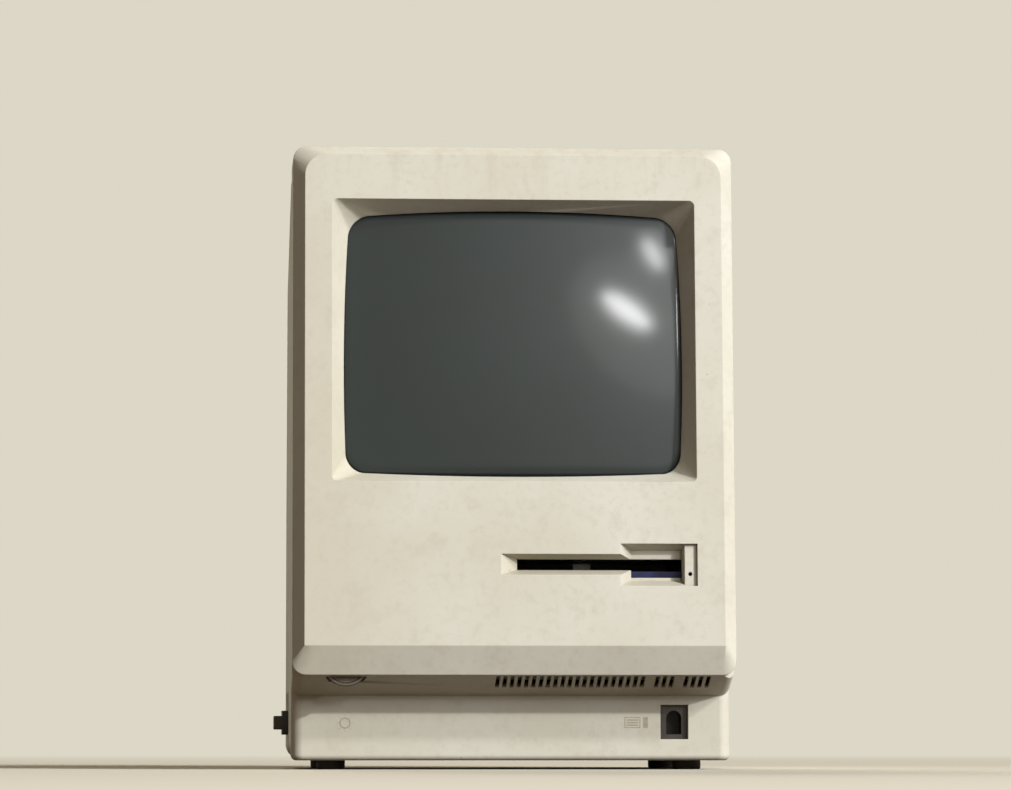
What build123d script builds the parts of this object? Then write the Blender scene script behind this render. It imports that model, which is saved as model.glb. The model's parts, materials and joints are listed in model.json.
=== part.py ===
from build123d import *
import os
from math import atan2, cos, radians, sin

# Compact home computer of the early 1980s: a moulded two-part case round a steel chassis, which carries
# the picture tube's circuits, a disk drive and a logic board. Millimetres, +Z up, the front faces -Y.
# Pieces are drawn from the case's middle plane (x = 0), the foremost point of the chin (y = 0) and
# the surface that the computer stands on (z = 0), and are moved to the part's frame as they are written.

# ---- The case ----
case_width = 244.0
case_height = 345.0         # above the table
case_depth = 276.0
foot_height = 5.0
foot_radius = 8.0
foot_side, foot_front, foot_setback = 22.5, 60.0, 72.0     # from the sides, the chin and the back
wall = 3.0                  # moulded wall of both case halves
face_lean = 4.0             # degrees that the front face leans back
face_foot = 67.7            # height of the front face's lower edge
top_chamfer = 5.0           # height of the chamfer over the front face
edge_depth = 7.0            # depth of the chamfer round the front face
side_chamfer = 6.5
outline_radius = 7.5        # corners of the bezel's outline
face_radius, face_foot_radius = 12.0, 3.0   # upper and lower corners of the flat front face
chin_foot = 51.8            # height of the chin chamfer's lower edge
bezel_depth = 52.0          # from the front face to the seam
base_setback = 37.0         # from the chin to the front of the base
base_head = 40.9            # height where the sloping underside meets the base
base_radius, base_edge = 6.5, 3.0           # its front corners and its lower edges
fit = 0.1                   # clearance between seated pieces of one body
running = 0.3               # clearance beside pieces that move
bearing = 0.05              # radial clearance of a shaft in its bore

# ---- The front openings ----
screen_low, screen_head = 158.0, 30.0       # the recess round the tube: its foot, and room over it
screen_side = 21.6          # from the case's side to the recess
side_draft = 0.6            # how far the recess's sides lean in, per mm of depth
screen_draft = 0.48         # the same for its top and bottom
screen_corner = 3.0
screen_depth = 22.0
slot_side, slot_width = 29.2, 91.4          # the disk slot, from the case's side
slot_low, slot_height = 109.4, 6.1
lead_depth = 8.0            # depth of the lead-in faces round the slot
lead_reach, lead_drop, lead_rise = 9.1, 2.8, 2.5    # how far they reach beyond the slot
notch_width, notch_side = 35.6, 0.8         # the finger notch, and how far it passes the slot's end
notch_drop, notch_rise = 8.8, 8.3           # how far it reaches below and over the slot
notch_depth, notch_draft = 9.0, 3.2
window_drop = 4.1           # how far the gap at the back of the notch reaches below the slot
panel_width, panel_depth = 6.7, 2.0         # the shallow panel beside the notch
slot_block = 14.0           # depth of the moulded block round the slot
release_side, release_drop, release_radius = 2.8, 2.2, 1.1  # beside the notch, below the slot
knob_side, knob_radius, knob_thick = 29.6, 13.2, 6.5
knob_front, knob_low, knob_gap = 10.5, 45.5, 0.6    # its foremost and lowest points, and its clearance
jack_side, jack_z = 31.4, 26.2              # the keyboard jack's opening in the base
jack_width, jack_height = 15.4, 19.0
vent_count, vent_pitch, vent_width = 30, 4.0, 2.2
vent_side, vent_front, vent_back = 12.0, 9.0, 25.0
vent_gaps = (21, 25)        # places in the row that are left solid
vent_skin = 1.2             # the wall is thinned to this round the slots
speaker_side, speaker_z, speaker_radius, speaker_seat = 56.0, 108.0, 27.0, 7.0
speaker_depth, magnet_radius = 20.0, 14.0

# ---- The rear housing ----
rear_inset = 1.0            # the housing is this much narrower than the bezel on each side
rear_radius = 7.0           # its upper long edges
skirt_radius = 9.0          # its lower long edges
slope_start = 150.0         # where the flat top turns down
slope_drop = 57.0           # its lower end, below the top
back_knee = 150.0           # the back is upright below this height
back_lean = 3 / 23          # and above it leans in by 3 mm in every 23 mm
back_foot = 9.0             # rounding at the foot of the back
back_radius = 7.0           # upright edges of the back
handle_width = 112.0
handle_front, handle_mouth, handle_back = 100.0, 122.0, 170.0
handle_bar = 13.0           # thickness of the bar that the fingers close round
handle_depth = 46.0
handle_rake = 20.0          # how far the recess's back wall leans
top_vent_count, top_vent_pitch, top_vent_width = 7, 6.5, 3.0
top_vent_side, top_vent_front, top_vent_setback = 17.0, 172.0, 36.0
side_vent_count, side_vent_pitch, side_vent_width = 15, 6.0, 3.0
side_vent_setback, side_vent_low, side_vent_high = 22.0, 21.0, 44.0

# ---- Fasteners ----
screw_radius, screw_head, head_height = 2.0, 3.8, 2.6
post_radius = 4.5
screw_bite = 16.0           # length of a screw in its post
handle_screw_x, handle_screw_drop = 44.0, 19.0
foot_screw_side, foot_screw_z, foot_screw_sink = 18.0, 16.0, 5.0

# ---- Picture tube ----
tube_cover, tube_corner = 2.6, 24.0         # how far the tube reaches behind the recess's edges
tube_apex, tube_low = 4.5, 14.0             # the glass's foremost point: its depth, and below the middle
tube_curve, tube_roll = 650.0, 12.0         # radii of the glass's front and of its edge
tube_rim, tube_cone, tube_neck = 36.0, 96.0, 10.0
tube_room = 50.0            # from the end of the neck to the case's back
band_front, band_back, band_thick = 18.0, 34.0, 1.2
lug_depth, lug_thick, lug_reach = 28.0, 2.0, 9.5
tube_screw_out, tube_screw_in = 6.0, 1.0    # the tube's screws: beside it, and below its top edge
yoke_front, yoke_back, yoke_inner, yoke_outer = 88.0, 122.0, 30.0, 42.0
yoke_mouth, yoke_flange, yoke_clamp = 27.0, 4.0, 10.0
neck_board_width, neck_board_height, board_thick = 64.0, 60.0, 1.6
socket_radius, socket_grip, socket_depth = 15.0, 4.0, 10.0

# ---- Chassis and boards ----
sheet = 1.2
chassis_side, chassis_front, chassis_setback = 10.0, 56.0, 14.0
chassis_low, shelf_z, chassis_drop = 12.0, 50.0, 119.0
chassis_right_high = 110.0
ledge_z, ledge_width = 24.0, 7.0            # the ledge's upper face carries the logic board
tab_width, tab_height = 10.5, 13.0
chassis_screw_in, chassis_screw_z = 6.0, 82.5
board_side, board_front, board_setback = 4.0, 58.0, 2.0     # the logic board, within the chassis
power_side = 38.0           # the column of mains parts at the back, from the case's side
analog_gap = 6.0            # from the chassis to the analog board
analog_front, analog_setback, analog_low, analog_drop = 62.0, 12.0, 53.0, 4.0
tongue_front, tongue_high = 28.0, 75.0
inlet_z, inlet_half_width, inlet_half_height = 66.0, 13.8, 10.2
rocker_z, rocker_half_width, rocker_half_height = 98.0, 11.0, 14.5
rocker_tilt = 10.0          # degrees each side of level
battery_z, battery_radius, battery_length = 132.0, 8.55, 50.0
door_half_width, door_half_height = 26.5, 10.0
flange = 1.5                # thickness of the flanges behind the back wall

# Parts of the analog board, placed by their share of its length and height.
flyback_place, flyback_half, flyback_reach, core_bar = (0.85, 0.78), 20.0, 34.0, 7.0
choke_place, choke_half, choke_high = (0.2, 0.24), 21.0, 38.0
large_capacitor, small_capacitor = (10.0, 30.0), (6.0, 20.0)    # radius and height
large_places, small_places = ((0.52, 0.14), (0.66, 0.14), (0.8, 0.14)), ((0.47, 0.85), (0.57, 0.85))
sink_place, sink_length, sink_reach = (0.35, 0.34), 60.0, 16.0
sink_high, sink_fins, sink_pitch = 30.0, 5, 5.0
knob_stem, pot_front, pot_back, pot_radius = 3.0, 28.0, 42.0, 8.5
inlet_length, inlet_deep, inlet_wall, inlet_pin_sink = 24.0, 17.0, 2.0, 5.5
inlet_pin_pitch, inlet_pin_width, inlet_pin_height = 7.0, 2.0, 4.0
inlet_pin_low, inlet_pin_high = -1.0, 2.0   # the outer pins and the middle one, from the centre
rocker_sink, rocker_web, rocker_face, rocker_half = 5.5, 3.6, 5.2, 10.6
rocker_wall, rocker_pin = 2.4, 1.3
door_grip = 9.0

# ---- Ports ----
port_z, port_flange = 34.0, 1.2
port_height, port_flange_height = 8.3, 12.5
mouse_side, port_pitch, serial_pitch, audio_pitch = 34.0, 42.0, 36.0, 24.0
small_port, large_port = 16.9, 32.0         # widths of the 9- and 19-way shells
port_ear = 7.0              # flange beyond the shell on each side
jack_post_radius, jack_post_length = 2.9, 5.2
shield_thick = 0.8
audio_z, audio_radius, audio_bore, audio_bore_length, audio_body = 32.0, 4.0, 1.8, 14.0, 6.6

shield_low, shield_foot = 23.2, 28.0
port_stand, port_foot = 1.5, 8.0
socket_wide, socket_low, socket_high, socket_deep = 9.0, 19.4, 9.6, 14.0
socket_key, socket_key_high = 4.0, 3.8
processor_x, processor_y, processor_size = -20.0, 118.0, (81.0, 20.0, 4.6)
rom_x, rom_pitch, rom_size = 56.0, 20.0, (36.0, 14.0, 4.0)
memory_side, memory_y, memory_row, memory_size = 24.0, 160.0, 14.0, (19.5, 6.6, 3.6)
interface_x, interface_y, interface_pitch, interface_size = -60.0, 212.0, 60.0, (51.0, 14.0, 4.2)

# ---- Disk drive ----
drive_spare, drive_in = 3.6, 0.2            # beyond the slot's end, and within the panel's edge
drive_front, drive_back, drive_drop, drive_rise = 20.0, 166.0, 19.4, 8.5
drive_wall = 1.5
cage_front, cage_back, cage_rise = 21.0, 116.0, 2.2
cage_spare, cage_lip = 1.8, 6.0
cage_sheet = 1.0
cage_drop = 3.5             # the cage sinks this far to seat the disk
spindle_y, spindle_radius, spindle_shaft = 70.0, 18.5, 2.0
hub_radius = 11.0
screw_line_out, screw_line_up, screw_line_radius = 28.9, 9.5, 2.0
guide_out = 10.9
stepper_plate = 141.0
stepper_radius, stepper_length = 7.8, 18.0
track_travel = 15.0         # of the heads, towards the spindle
head_y, head_radius = 109.5, 2.4
lip_drop = 2.6
spindle_boss, rotor_thick, hub_high = 4.0, 4.0, 2.0
arm_half, carriage_length = 5.0, 12.0
bracket_foot, bracket_drop, bracket_back = 12.0, 8.0, 158.0
eject_wide, eject_front, eject_high = 22.0, 126.0, 20.0
lever_width, lever_high, lever_front, lever_length = 3.0, 6.0, 21.0, 40.0
eject_travel = 6.0          # of the release lever, pushed from the front

# ---- Programmer's switch ----
switch_slot, switch_z = 5, 26.5             # it hangs in the vent slots on each side of this one
switch_half_length, switch_half_height, switch_stand = 16.0, 7.0, 3.5
button_y, button_half, button_reach, button_travel = 6.0, 4.0, 8.3, 2.0
push_rod_half, push_rod_gap = 1.2, 0.4

# ---- Derived places ----
lean_sin, lean_cos = sin(radians(face_lean)), cos(radians(face_lean))
front = Plane(origin=(0, 0, face_foot), x_dir=(1, 0, 0), z_dir=(0, -lean_cos, lean_sin))
case_low = foot_height
half = case_width / 2
rear_half = half - rear_inset
rear_top = case_height - rear_inset
back_inner = case_depth - wall
face_head = case_height - top_chamfer
foot_x, foot_back = half - foot_side, case_depth - foot_setback
slope_end_height = case_height - slope_drop
slope_end_depth = case_depth - back_lean * (slope_end_height - back_knee)
underside_angle = atan2(chin_foot - base_head, base_setback - edge_depth)
underside = Plane(origin=(0, edge_depth, chin_foot), x_dir=(1, 0, 0),
                  z_dir=(0, -sin(underside_angle), -cos(underside_angle)))

screen_high, screen_width = case_height - screen_head, case_width - 2 * screen_side
slot_right, slot_high = half - slot_side, slot_low + slot_height
slot_left = slot_right - slot_width
lead_left, lead_low, lead_high = slot_left - lead_reach, slot_low - lead_drop, slot_high + lead_rise
notch_right, notch_low, notch_high = slot_right + notch_side, slot_low - notch_drop, slot_high + notch_rise
notch_left, window_low = notch_right - notch_width, slot_low - window_drop
panel_right = notch_right + panel_width
release_x, release_z = notch_right + release_side, slot_low - release_drop
knob_x, knob_z = -half + knob_side, knob_low + knob_radius
jack_x, speaker_x = half - jack_side, -half + speaker_side
top_vent_outer, top_vent_back = half - top_vent_side, case_depth - top_vent_setback
side_vent_back = case_depth - side_vent_setback

bore_radius = screw_radius + bearing
handle_screw_z, foot_screw_x = case_height - handle_screw_drop, half - foot_screw_side
tube_width, tube_height = screen_width + 2 * tube_cover, screen_high - screen_low + 2 * tube_cover
tube_screw_x, tube_screw_v = tube_width / 2 + tube_screw_out, tube_height / 2 - tube_screw_in
tube_length = case_depth - tube_room

chassis_half, chassis_back = half - chassis_side, case_depth - chassis_setback
chassis_high, chassis_screw_x = case_height - chassis_drop, chassis_half - chassis_screw_in
board_half, board_back = chassis_half - board_side, chassis_back - board_setback
analog_back, analog_high = chassis_back - analog_setback, chassis_high - analog_drop
power_x, inlet_back = -half + power_side, case_depth - inlet_length
mouse_x = half - mouse_side
drive_x, printer_x = mouse_x - port_pitch, mouse_x - 2 * port_pitch
modem_x, audio_x = printer_x - serial_pitch, printer_x - serial_pitch - audio_pitch
shield_front = back_inner - shield_foot

drive_left, drive_right = slot_left - drive_spare, panel_right - drive_in
drive_low, drive_high = slot_low - drive_drop, slot_high + drive_rise
cage_left, cage_right, cage_top = slot_left - cage_spare, slot_right + cage_spare, slot_high + cage_rise
spindle_x = (slot_left + slot_right) / 2
screw_line_x, screw_line_z = spindle_x + screw_line_out, drive_low + screw_line_up
guide_x, bracket_high = spindle_x + guide_out, drive_high - bracket_drop
push_rod_tip = board_half - push_rod_gap


def face_y(z):
    """How far behind the chin the front face is at a height."""
    return (z - face_foot) * lean_sin / lean_cos


def up_face(z, depth=0.0):
    """The distance up the front face's own plane, or one behind it, of a height."""
    return (z - face_foot + depth * lean_sin) / lean_cos


screen_v = up_face((screen_low + screen_high) / 2)
screen_half_v = up_face(screen_high) - screen_v


def at_depth(y):
    """An upright plane that faces the front; its sketches are in x and z."""
    return Plane.XZ.offset(-y)


def block(x, y, z, mode=Mode.ADD):
    """A box in the open part, between two places on each axis."""
    with Locations(((x[0] + x[1]) / 2, (y[0] + y[1]) / 2, (z[0] + z[1]) / 2)):
        Box(x[1] - x[0], y[1] - y[0], z[1] - z[0], mode=mode)


def rod(start, direction, radius, length, mode=Mode.ADD):
    """A round bar in the open part, from a point along a direction."""
    with BuildSketch(Plane(origin=start, z_dir=direction)) as end:
        Circle(radius)
    extrude(end.sketch, amount=length, mode=mode)


def panel(x, y, radius=0.0, mode=Mode.ADD):
    """A rectangle in the open sketch between two places each way, with rounded corners if asked."""
    with Locations(((x[0] + x[1]) / 2, (y[0] + y[1]) / 2)):
        if radius > 0:
            RectangleRounded(x[1] - x[0], y[1] - y[0], radius, mode=mode)
        else:
            Rectangle(x[1] - x[0], y[1] - y[0], mode=mode)


def both(value):
    """A value and its opposite."""
    return (-value, value)


BACKWARD, FORWARD, RIGHT, UP = (0, 1, 0), (0, -1, 0), (1, 0, 0), (0, 0, 1)
into_case = tuple(-front.z_dir)
pieces = []


def finish(piece, name):
    """Name a finished piece and keep it for writing."""
    piece.part.label = name
    pieces.append(piece.part)


# ================= The case =================

def outline(inset):
    """The bezel's outline behind the chamfer, in the open sketch."""
    panel(both(half - inset), (up_face(chin_foot, edge_depth) + inset,
                               up_face(case_height, edge_depth) - inset), outline_radius - inset)


def bezel_form(inset):
    """The bezel's outer form, or with an inset the hollow behind its wall."""
    shoulder = front.offset(-edge_depth - inset / 2)
    deep = bezel_depth * 1.6
    with BuildPart() as form:
        # The sloping underside, drawn from the side and narrowed in plan towards the chin.
        with BuildSketch(Plane.YZ):
            with BuildLine():
                Polyline((edge_depth, chin_foot), (base_setback, base_head), (deep, base_head),
                         (deep, chin_foot * 1.6), (edge_depth, chin_foot * 1.6), close=True)
            make_face()
            if inset:
                offset(amount=-inset, kind=Kind.INTERSECTION)
        extrude(amount=half - inset, both=True)
        fillet(form.edges().filter_by(lambda e: abs(e.center().X) > half - inset - fit
                                      and e.center().Z < chin_foot and abs(e.tangent_at(0.5).Y) > 0.5),
               base_radius - inset / 2)
        with BuildSketch(Plane.XY):
            with BuildLine():
                side = half - inset
                nose = half - outline_radius
                Polyline((-nose, edge_depth), (nose, edge_depth), (side, base_setback / 2),
                         (side, deep), (-side, deep), (-side, base_setback / 2), close=True)
            make_face()
        extrude(amount=case_height, mode=Mode.INTERSECT)
        # The base below it.
        with BuildSketch(Plane.XY.offset(case_low + inset)):
            panel(both(half - inset), (base_setback + inset, deep + bezel_depth), base_radius - inset / 2)
        extrude(amount=chin_foot - case_low)
        if not inset:
            fillet(form.faces().sort_by(Axis.Z)[0].edges(), base_edge)
        # The chamfered front and the straight walls behind it.
        with BuildSketch(front.offset(-inset)) as face:
            panel(both(half - side_chamfer - inset / 2), (inset / 2, up_face(face_head) - inset / 2))
            lower, upper = face.vertices().group_by(Axis.Y)[0], face.vertices().group_by(Axis.Y)[-1]
            fillet(upper, face_radius - inset)
            fillet(lower, face_foot_radius - inset / 2)
        with BuildSketch(shoulder):
            outline(inset)
        loft(ruled=True)
        with BuildSketch(shoulder):
            outline(inset)
        extrude(amount=bezel_depth, dir=BACKWARD)
        if not inset:
            split(bisect_by=front.offset(-bezel_depth), keep=Keep.TOP)
    return form.part


def housing_form(inset):
    """The rear housing's outer form, or with an inset the hollow inside it."""
    start = bezel_depth / 2
    with BuildPart() as form:
        with BuildSketch(Plane.YZ) as side:
            with BuildLine():
                Polyline((start, case_low), (case_depth, case_low), (case_depth, back_knee),
                         (slope_end_depth, slope_end_height), (slope_start, rear_top),
                         (start, rear_top), close=True)
            make_face()
            fillet(side.vertices().group_by(Axis.X)[-1].sort_by(Axis.Y)[0], back_foot)
            fillet(side.vertices().filter_by(lambda v: abs(v.X - slope_end_depth) < fit), back_radius * 2)
            if inset:
                offset(amount=-inset, kind=Kind.INTERSECTION)
        extrude(amount=rear_half, both=True)
        with BuildSketch(at_depth(0)) as across:
            with BuildLine():
                Polyline((-rear_half, case_low), (rear_half, case_low), (rear_half, rear_top),
                         (-rear_half, rear_top), close=True)
            make_face()
            fillet(across.vertices().group_by(Axis.Y)[-1], rear_radius)
            fillet(across.vertices().group_by(Axis.Y)[0], skirt_radius)
            if inset:
                offset(amount=-inset, kind=Kind.INTERSECTION)
        extrude(amount=-case_depth * 1.5, mode=Mode.INTERSECT)
        # The upright edges at the back.
        edges = form.edges().filter_by(
            lambda e: abs(e.center().X) > rear_half - inset - 1 and e.center().Y > slope_end_depth - 2 * wall
            and e.length > rear_radius * 3 and abs(e.tangent_at(0.5).Z) > 0.9)
        fillet(edges, back_radius - inset)
    return form.part


def screen_form(grow):
    """The recess that narrows from the front face to the glass, or with growth its outer wall."""
    with BuildPart() as form:
        for depth in (0.0, screen_depth):
            with BuildSketch(front.offset(-depth)):
                wide = screen_width / 2 + grow - side_draft * depth
                high = screen_half_v + grow - screen_draft * depth
                panel(both(wide), (screen_v - high, screen_v + high),
                      screen_corner + grow / 2 + depth * side_draft)
        loft(ruled=True)
    return form.part


def glass_form(grow):
    """The tube's face and rim as one block with its curved front."""
    with BuildPart() as form:
        with BuildSketch(front.offset(-tube_apex + grow)):
            wide, high = tube_width / 2 + grow, tube_height / 2 + grow
            panel(both(wide), (screen_v - high, screen_v + high), tube_corner + grow)
        extrude(amount=-(tube_rim - tube_apex + 2 * grow))
        with Locations(front.from_local_coords((0, screen_v - tube_low, -(tube_apex + tube_curve)))):
            Sphere(tube_curve + grow, mode=Mode.INTERSECT)
    return form.part


def notch_form():
    """The finger notch, which narrows towards its back."""
    with BuildPart() as form:
        for depth, draft in ((0.0, 0.0), (notch_depth, notch_draft)):
            with BuildSketch(front.offset(-depth)):
                panel((notch_left + 2 * draft, notch_right - draft / 3),
                      (up_face(notch_low, depth) + draft, up_face(notch_high, depth) - draft))
        loft(ruled=True)
    return form.part


def lead_in_form():
    """The slot's lead-in, which narrows towards the slot."""
    with BuildPart() as form:
        with BuildSketch(front):
            panel((lead_left, notch_right), (up_face(lead_low), up_face(lead_high)))
        with BuildSketch(front.offset(-lead_depth)):
            panel((slot_left, slot_right), (up_face(slot_low, lead_depth), up_face(slot_high, lead_depth)))
        loft(ruled=True)
    return form.part


def handle_form(grow):
    """The space for the hand behind and under the handle's bar, or with growth its walls."""
    ceiling = rear_top - handle_bar
    floor = rear_top - handle_depth
    mouth = case_height + wall * 4
    with BuildPart() as form:
        with BuildSketch(Plane.YZ) as side:
            with BuildLine():
                Polyline((handle_front, floor), (handle_front, ceiling), (handle_mouth, ceiling),
                         (handle_mouth, mouth), (handle_back, mouth),
                         (handle_back - handle_rake, floor), close=True)
            make_face()
            fillet(side.vertices().group_by(Axis.Y)[0], rear_radius)
            if grow:
                offset(amount=grow, kind=Kind.INTERSECTION)
        extrude(amount=handle_width / 2 + grow, both=True)
    return form.part


def d_shell(x, width, grow=0.0, mode=Mode.ADD):
    """The outline of a D-shaped port in the open sketch."""
    high = port_height / 2 + grow
    with BuildLine(mode=Mode.PRIVATE) as edge:
        Polyline((x - width / 2 - grow, port_z + high), (x + width / 2 + grow, port_z + high),
                 (x + width / 2 + grow - high / 2, port_z - high),
                 (x - width / 2 - grow + high / 2, port_z - high), close=True)
    make_face(edge.edges(), mode=mode)


ports = {"mouse_port": (mouse_x, small_port), "drive_port": (drive_x, large_port),
         "printer_port": (printer_x, small_port), "modem_port": (modem_x, small_port)}
post_places = [x + side * (width + port_ear) / 2 for x, width in ports.values() for side in (-1, 1)]
front_vents = [half - vent_side - vent_pitch * (vent_count - i) for i in range(vent_count)
               if i not in vent_gaps]
side_vents = [side_vent_back - side_vent_pitch * i for i in reversed(range(side_vent_count))]
switch_y = side_vents[switch_slot]
window_column = ((inlet_z, inlet_half_width, inlet_half_height),
                 (rocker_z, rocker_half_width, rocker_half_height),
                 (battery_z, door_half_width, door_half_height))

bezel_outer, bezel_inner = bezel_form(0.0), bezel_form(wall)
housing_outer, housing_inner = housing_form(0.0), housing_form(wall)
screen_wall, screen_recess = screen_form(wall), screen_form(0.0)
tube_seat = glass_form(running)
notch, lead_in = notch_form(), lead_in_form()
handle_wall, handle_space = handle_form(wall), handle_form(0.0)

# The front bezel: one moulding with the recess for the tube, the disk slot and the posts for the
# tube, the chassis and the two long screws from the handle.
with BuildPart() as front_bezel:
    add(bezel_outer)
    add(bezel_inner, mode=Mode.SUBTRACT)
    add(screen_wall)
    with BuildSketch(front.offset(-wall / 2)):
        panel((lead_left - wall, panel_right + wall), (up_face(notch_low) - wall, up_face(notch_high) + wall))
    extrude(amount=-(slot_block - wall / 2))
    for x in both(tube_screw_x):
        for v in both(tube_screw_v):
            start = front.from_local_coords((x, screen_v + v, -wall / 2))
            rod(start, into_case, post_radius, lug_depth - wall / 2)
    for x in both(handle_screw_x):
        start_y = face_y(handle_screw_z) + wall / 2
        rod((x, start_y, handle_screw_z), BACKWARD, post_radius, handle_front - wall - start_y)
    for x in both(chassis_screw_x):
        start_y = face_y(chassis_screw_z) + wall / 2
        rod((x, start_y, chassis_screw_z), BACKWARD, post_radius, chassis_front - start_y)
    # A ring behind the front locates the loudspeaker.
    with BuildSketch(front.offset(-wall / 2)):
        with Locations((speaker_x, up_face(speaker_z))):
            Circle(speaker_radius + wall / 2)
            Circle(speaker_radius - wall, mode=Mode.SUBTRACT)
    extrude(amount=-(speaker_seat - wall / 2))
    # Openings of the front face.
    add(screen_recess, mode=Mode.SUBTRACT)
    add(tube_seat, mode=Mode.SUBTRACT)
    add(lead_in, mode=Mode.SUBTRACT)
    add(notch, mode=Mode.SUBTRACT)
    with BuildSketch(front):
        panel((slot_left, slot_right), (up_face(slot_low), up_face(slot_high)))
        panel((notch_left + 2 * notch_draft, slot_right), (up_face(window_low), up_face(slot_high)))
    extrude(amount=slot_block * 1.1, dir=BACKWARD, mode=Mode.SUBTRACT)
    with BuildSketch(front):
        panel((notch_right - notch_draft, panel_right), (up_face(notch_low), up_face(notch_high)))
    extrude(amount=-panel_depth, mode=Mode.SUBTRACT)
    rod((release_x, face_y(release_z), release_z), BACKWARD, release_radius, slot_block * 1.1, Mode.SUBTRACT)
    # The keyboard jack's opening, the knob's opening and the vent slots of the underside.
    with BuildSketch(at_depth(base_setback)):
        panel((jack_x - jack_width / 2, jack_x + jack_width / 2),
              (jack_z - jack_height / 2, jack_z + jack_height / 2))
    extrude(amount=-wall, mode=Mode.SUBTRACT)
    with BuildSketch(Plane.XY.offset(base_head)):
        for x in front_vents:
            panel((x, x + vent_width), (vent_front, vent_back))
    extrude(amount=chin_foot - base_head + wall, mode=Mode.SUBTRACT)
    with BuildSketch(underside.offset(-vent_skin)):
        panel((front_vents[0] - wall, front_vents[-1] + wall * 2),
              (edge_depth - vent_back - wall, edge_depth - vent_front))
    extrude(amount=-wall, mode=Mode.SUBTRACT)
    rod((knob_x, knob_front - knob_gap, knob_z), BACKWARD, knob_radius + knob_gap,
        knob_thick + 2 * knob_gap, Mode.SUBTRACT)
    # Blind bores in the posts.
    for x in both(tube_screw_x):
        for v in both(tube_screw_v):
            start = front.from_local_coords((x, screen_v + v, -lug_depth))
            rod(start, tuple(front.z_dir), bore_radius, screw_bite, Mode.SUBTRACT)
    for x in both(handle_screw_x):
        rod((x, handle_front - wall, handle_screw_z), FORWARD, bore_radius, screw_bite, Mode.SUBTRACT)
    for x in both(chassis_screw_x):
        rod((x, chassis_front, chassis_screw_z), FORWARD, bore_radius, screw_bite, Mode.SUBTRACT)
finish(front_bezel, "front_bezel")

# The rear housing: a deep moulding with the handle, vents and the openings for the mains parts and ports.
with BuildPart() as handle_pocket:
    add(handle_wall)
    add(housing_outer, mode=Mode.INTERSECT)

with BuildPart() as rear_housing:
    add(housing_outer)
    split(bisect_by=front.offset(-bezel_depth), keep=Keep.BOTTOM)
    add(housing_inner, mode=Mode.SUBTRACT)
    add(handle_pocket.part)
    for x in both(foot_screw_x):
        rod((x, chassis_back, foot_screw_z), BACKWARD, post_radius + wall / 2,
            back_inner - chassis_back + wall / 2)
    add(handle_space, mode=Mode.SUBTRACT)
    for x in both(handle_screw_x):
        rod((x, handle_front - wall, handle_screw_z), BACKWARD, bore_radius, wall, Mode.SUBTRACT)
    for x in both(foot_screw_x):
        rod((x, chassis_back, foot_screw_z), BACKWARD, bore_radius, back_inner, Mode.SUBTRACT)
        rod((x, case_depth, foot_screw_z), FORWARD, screw_head + running, foot_screw_sink, Mode.SUBTRACT)
    with BuildSketch(Plane.XY.offset(slope_end_height - wall * 2)):
        for i in range(top_vent_count):
            for x in both(top_vent_outer - top_vent_pitch * i):
                panel((x - top_vent_width / 2, x + top_vent_width / 2), (top_vent_front, top_vent_back))
    extrude(amount=case_height - slope_end_height, mode=Mode.SUBTRACT)
    with BuildSketch(Plane.YZ):
        for y in side_vents:
            panel((y - side_vent_width / 2, y + side_vent_width / 2), (side_vent_low, side_vent_high))
    extrude(amount=case_width, both=True, mode=Mode.SUBTRACT)
    with BuildSketch(at_depth(case_depth)):
        for z, wide, high in window_column:
            panel((power_x - wide - fit, power_x + wide + fit), (z - high - fit, z + high + fit))
        for x, width in ports.values():
            d_shell(x, width, fit * 4)
        with Locations(*[(x, port_z) for x in post_places]):
            Circle(jack_post_radius + running)
        with Locations((audio_x, audio_z)):
            Circle(audio_radius + running)
    extrude(amount=wall, mode=Mode.SUBTRACT)
finish(rear_housing, "rear_housing")

with BuildPart() as rubber_feet:
    with BuildSketch(Plane.XY):
        with Locations(*[(x, y) for x in both(foot_x) for y in (foot_front, foot_back)]):
            Circle(foot_radius)
    extrude(amount=foot_height)
    chamfer(rubber_feet.faces().group_by(Axis.Z)[0].edges(), foot_height / 6)
finish(rubber_feet, "rubber_feet")


# ================= Picture tube =================

def on_tube(depth):
    """A plane across the tube's axis, at a depth behind the front face."""
    return Plane(origin=front.from_local_coords((0, screen_v, -depth)), x_dir=(1, 0, 0), z_dir=front.z_dir)


# The tube's own half plane: along its axis, and out from it.
tube_half = Plane(origin=on_tube(0).origin, x_dir=-front.z_dir, z_dir=(1, 0, 0))
tube_axis = Axis(tube_half.origin, -front.z_dir)


def tube_ring(profile):
    """A part turned round the tube's axis, from (depth, radius) points."""
    with BuildPart() as ring:
        with BuildSketch(tube_half):
            with BuildLine():
                Polyline(*profile, close=True)
            make_face()
        revolve(axis=tube_axis)
    return ring


glass_block = glass_form(0.0)
with BuildPart() as picture_tube:
    add(glass_block)
    fillet(picture_tube.faces().sort_by(Axis.Y)[0].edges(), tube_roll)
    with BuildSketch(on_tube(tube_rim)):
        RectangleRounded(tube_width, tube_height, tube_corner)
    with BuildSketch(on_tube(tube_cone)):
        Circle(tube_neck)
    loft()
    with BuildSketch(on_tube(tube_cone)):
        Circle(tube_neck)
    extrude(amount=-(tube_length - tube_cone))
finish(picture_tube, "picture_tube")

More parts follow.
